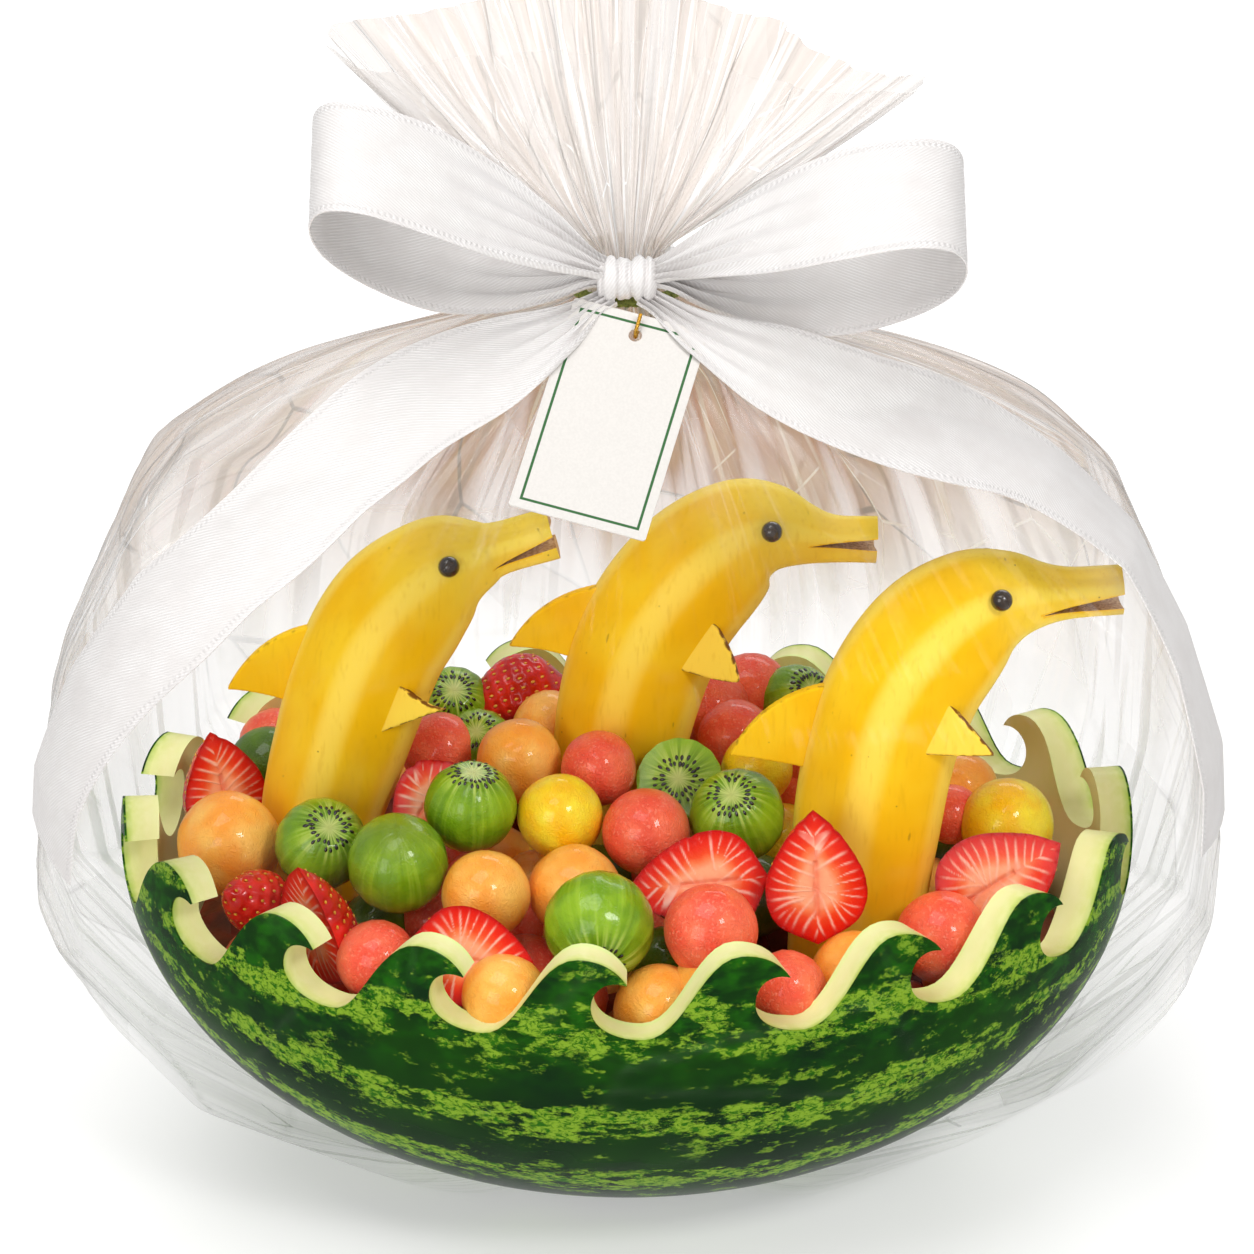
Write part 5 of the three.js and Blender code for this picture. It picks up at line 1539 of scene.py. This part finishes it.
def bandMesh(name, low, high, inner, outer, sides=128):
    rows, hemWidth = 24, 0.026
    # up the crimped outside and down the plain inside
    rings = [(r / rows, outer - 0.35 + 0.5 * math.sin(r / rows * math.pi * 5) * 0.45) for r in range(rows + 1)]
    rings += [(r / rows, inner) for r in range(rows, -1, -6)]
    points, spots = [], []
    for share, reach in rings:
        for turn in roundTurns(sides):
            points.append((reach * math.cos(turn), reach * math.sin(turn), low + (high - low) * share))
            spots.append(((share - 0.5) * hemWidth, turn * outer * mm))
    faces = gridFaces(len(rings), sides) + joinRings((len(rings) - 1) * sides, 0, sides)
    return layStrip(toMesh(name, np.array(points) * mm, faces, 60), spots)


show("ribbonKnot", knotMesh(), "satin", ["ribbon_knot"])
collarSizes = (knotSet[key] for key in ("collarLow", "collarHigh", "collarIn", "collarOut"))
collar = bandMesh("ribbonCollar", *collarSizes)
show("ribbonCollar", collar, "satin", ["ribbon_knot"])


def ropeMesh(name, path, radius, sides, twists, depth, closed=False):  # a twisted cord along a path, in mm
    path = np.array(path)
    ahead = np.roll(path, -1, axis=0) - np.roll(path, 1, axis=0) if closed else np.gradient(path, axis=0)
    ahead = unit(ahead)
    steady = np.array([0.0, 0.0, 1.0]) if closed else np.array([1.0, 0.0, 0.0])
    points = []
    for k, (spot, way) in enumerate(zip(path, ahead)):
        side = np.cross(way, steady)
        side /= np.linalg.norm(side)
        other = np.cross(side, way)
        for turn in roundTurns(sides):
            reach = radius * (1 - depth + depth * abs(math.cos(1.5 * turn + math.pi * twists * k / len(path))))
            points.append(spot + (side * math.cos(turn) + other * math.sin(turn)) * reach)
    faces = gridFaces(len(path), sides)
    if closed:
        faces += joinRings((len(path) - 1) * sides, 0, sides)
    else:
        faces += [tuple(range(first, first + sides)) for first in (0, (len(path) - 1) * sides)]
    return toMesh(name, np.array(points) * mm, faces, 60)


# green tie round the neck, twisted at the back

tie = {"height": 259.8, "ring": 14.2, "wire": 1.5}
ringPath = [(tie["ring"] * math.cos(t), tie["ring"] * math.sin(t), tie["height"])
            for t in np.linspace(0, fullTurn, 241)[:-1]]
show("neckTie", ropeMesh("neckTie", ringPath, tie["wire"], 18, 46, 0.28, True), "tie", ["neck_tie"])
twistPath = [(1.1 * math.cos(t * 9), 13.2 + 6 * t, tie["height"] + 1.1 * math.sin(t * 9))
             for t in np.linspace(0, 1, 60)]
show("neckTieTwist", ropeMesh("neckTieTwist", twistPath, 1.3, 16, 10, 0.25), "tie", ["neck_tie"])


# gift tag: card with a punched hole, hung on a gold cord

def cardAxes():
    lean, turn = math.radians(card["lean"]), math.radians(card["turn"])
    slope = Vector((0, math.sin(lean), math.cos(lean)))
    right = Vector((math.cos(turn), 0, 0)) - slope * math.sin(turn)
    up = slope * math.cos(turn) + Vector((math.sin(turn), 0, 0))
    return right, up, right.cross(up)


def cardMesh():
    halfWidth, halfLength, thick = card["width"] / 2, card["length"] / 2, card["thickness"]
    outline = []
    for cx, cy, first in ((1, 1, 0), (-1, 1, 90), (-1, -1, 180), (1, -1, 270)):
        for k in range(5):
            turn = math.radians(first + 22.5 * k)
            outline.append(Vector((cx * (halfWidth - card["corner"]) + card["corner"] * math.cos(turn),
                                   cy * (halfLength - card["corner"]) + card["corner"] * math.sin(turn))))
    hole = [Vector((card["hole"] * math.cos(t), card["holeRise"] + card["hole"] * math.sin(t)))
            for t in np.linspace(0, fullTurn, 33)[:-1]]
    count, ring = len(outline), len(hole)
    edges = [(k, (k + 1) % count) for k in range(count)]
    edges += [(count + k, count + (k + 1) % ring) for k in range(ring)]
    flat, _, faces, *_ = delaunay_2d_cdt(outline + hole, edges, [], 1, 1e-6)
    faces = [f for f in faces if (sum((flat[k] for k in f), Vector((0, 0))) / len(f)
                                  - Vector((0, card["holeRise"]))).length > card["hole"]]
    points = [(p.x, p.y, thick / 2) for p in flat] + [(p.x, p.y, -thick / 2) for p in flat]
    total = len(flat)
    faces = [tuple(f) for f in faces] + [tuple(total + k for k in reversed(f)) for f in faces]
    faces += [(a, b, total + b, total + a) for a, b in edges]
    return toMesh("tagCard", np.array(points) * mm, faces, 30)


right, up, out = cardAxes()
stand = Matrix((right, up, out)).transposed().to_4x4()
stand.translation = Vector(card["centre"]) * mm
show("tagCard", cardMesh(), "card", ["tag"], stand)
holeSpot = Vector(card["centre"]) + up * card["holeRise"]
cordPath = smoothPath([holeSpot + up * a + out * b for a, b in
                       ((5.2, 2.6), (3, 2.2), (0.6, 1.5), (0, 0), (0.6, -1.5), (3, -2))], 90)
show("tagCord", ropeMesh("tagCord", cordPath, 0.55, 14, 16, 0.25), "gold", ["tag_cord"])
print("knot, tie and tag made")


# floor and light

studio = {"world": 0.42, "floor": "dedddc", "glowNear": 0.38, "glowFar": 0.66, "reach": 1.3}
floorMesh = bpy.data.meshes.new("floor")
corners = [(6 * x, 6 * y, -0.0006) for x, y in ((-1, -1), (1, -1), (1, 1), (-1, 1))]
floorMesh.from_pydata(corners, [], [(0, 1, 2, 3)])
floor = bpy.data.objects.new("floor", floorMesh)
floorFinish = Finish("floorPaper", Roughness=0.9, Specular_IOR_Level=0.1, Emission_Strength=1)
floorFinish.shader.inputs["Base Color"].default_value = colour(studio["floor"])
floorX, floorY, _ = floorFinish.axes()
awayFrom = floorFinish.maths("SQRT", floorX ** 2 + floorY ** 2)
glow = floorFinish.between(awayFrom, 0.15, studio["reach"], studio["glowNear"], studio["glowFar"])
floorFinish.into(Emission_Color=floorFinish.joined(glow, glow, glow))
floorMesh.materials.append(floorFinish.material)
scene.collection.objects.link(floor)
floor.visible_glossy = False  # the rind mirrors the room, not the paper

world = bpy.data.worlds.new("studio")
scene.world = world
world.use_nodes = True
world.node_tree.nodes["Background"].inputs[0].default_value = (1, 1, 1, 1)
world.node_tree.nodes["Background"].inputs[1].default_value = studio["world"]


def softLight(name, place, aim, size, power):
    lamp = bpy.data.lights.new(name, "AREA")
    lamp.shape = "RECTANGLE"
    lamp.size, lamp.size_y = size
    lamp.energy = power
    made = bpy.data.objects.new(name, lamp)
    made.location = place
    made.rotation_euler = (Vector(aim) - Vector(place)).to_track_quat("-Z", "Y").to_euler()
    scene.collection.objects.link(made)


softLight("keyLight", (0.6, -0.85, 1.05), (0, 0, 0.1), (0.28, 0.28), 5.6)
softLight("topLight", (-0.3, -0.35, 1.5), (0, 0, 0.1), (0.9, 0.9), 10)
softLight("fillLight", (-0.7, -1.2, 0.6), (0, 0, 0.12), (0.7, 0.7), 5.4)
softLight("rimLight", (0.3, 1.0, 0.9), (0, 0, 0.15), (0.9, 0.3), 3)
scene.view_settings.view_transform = "Standard"
scene.view_settings.look = "None"
print("studio ready")
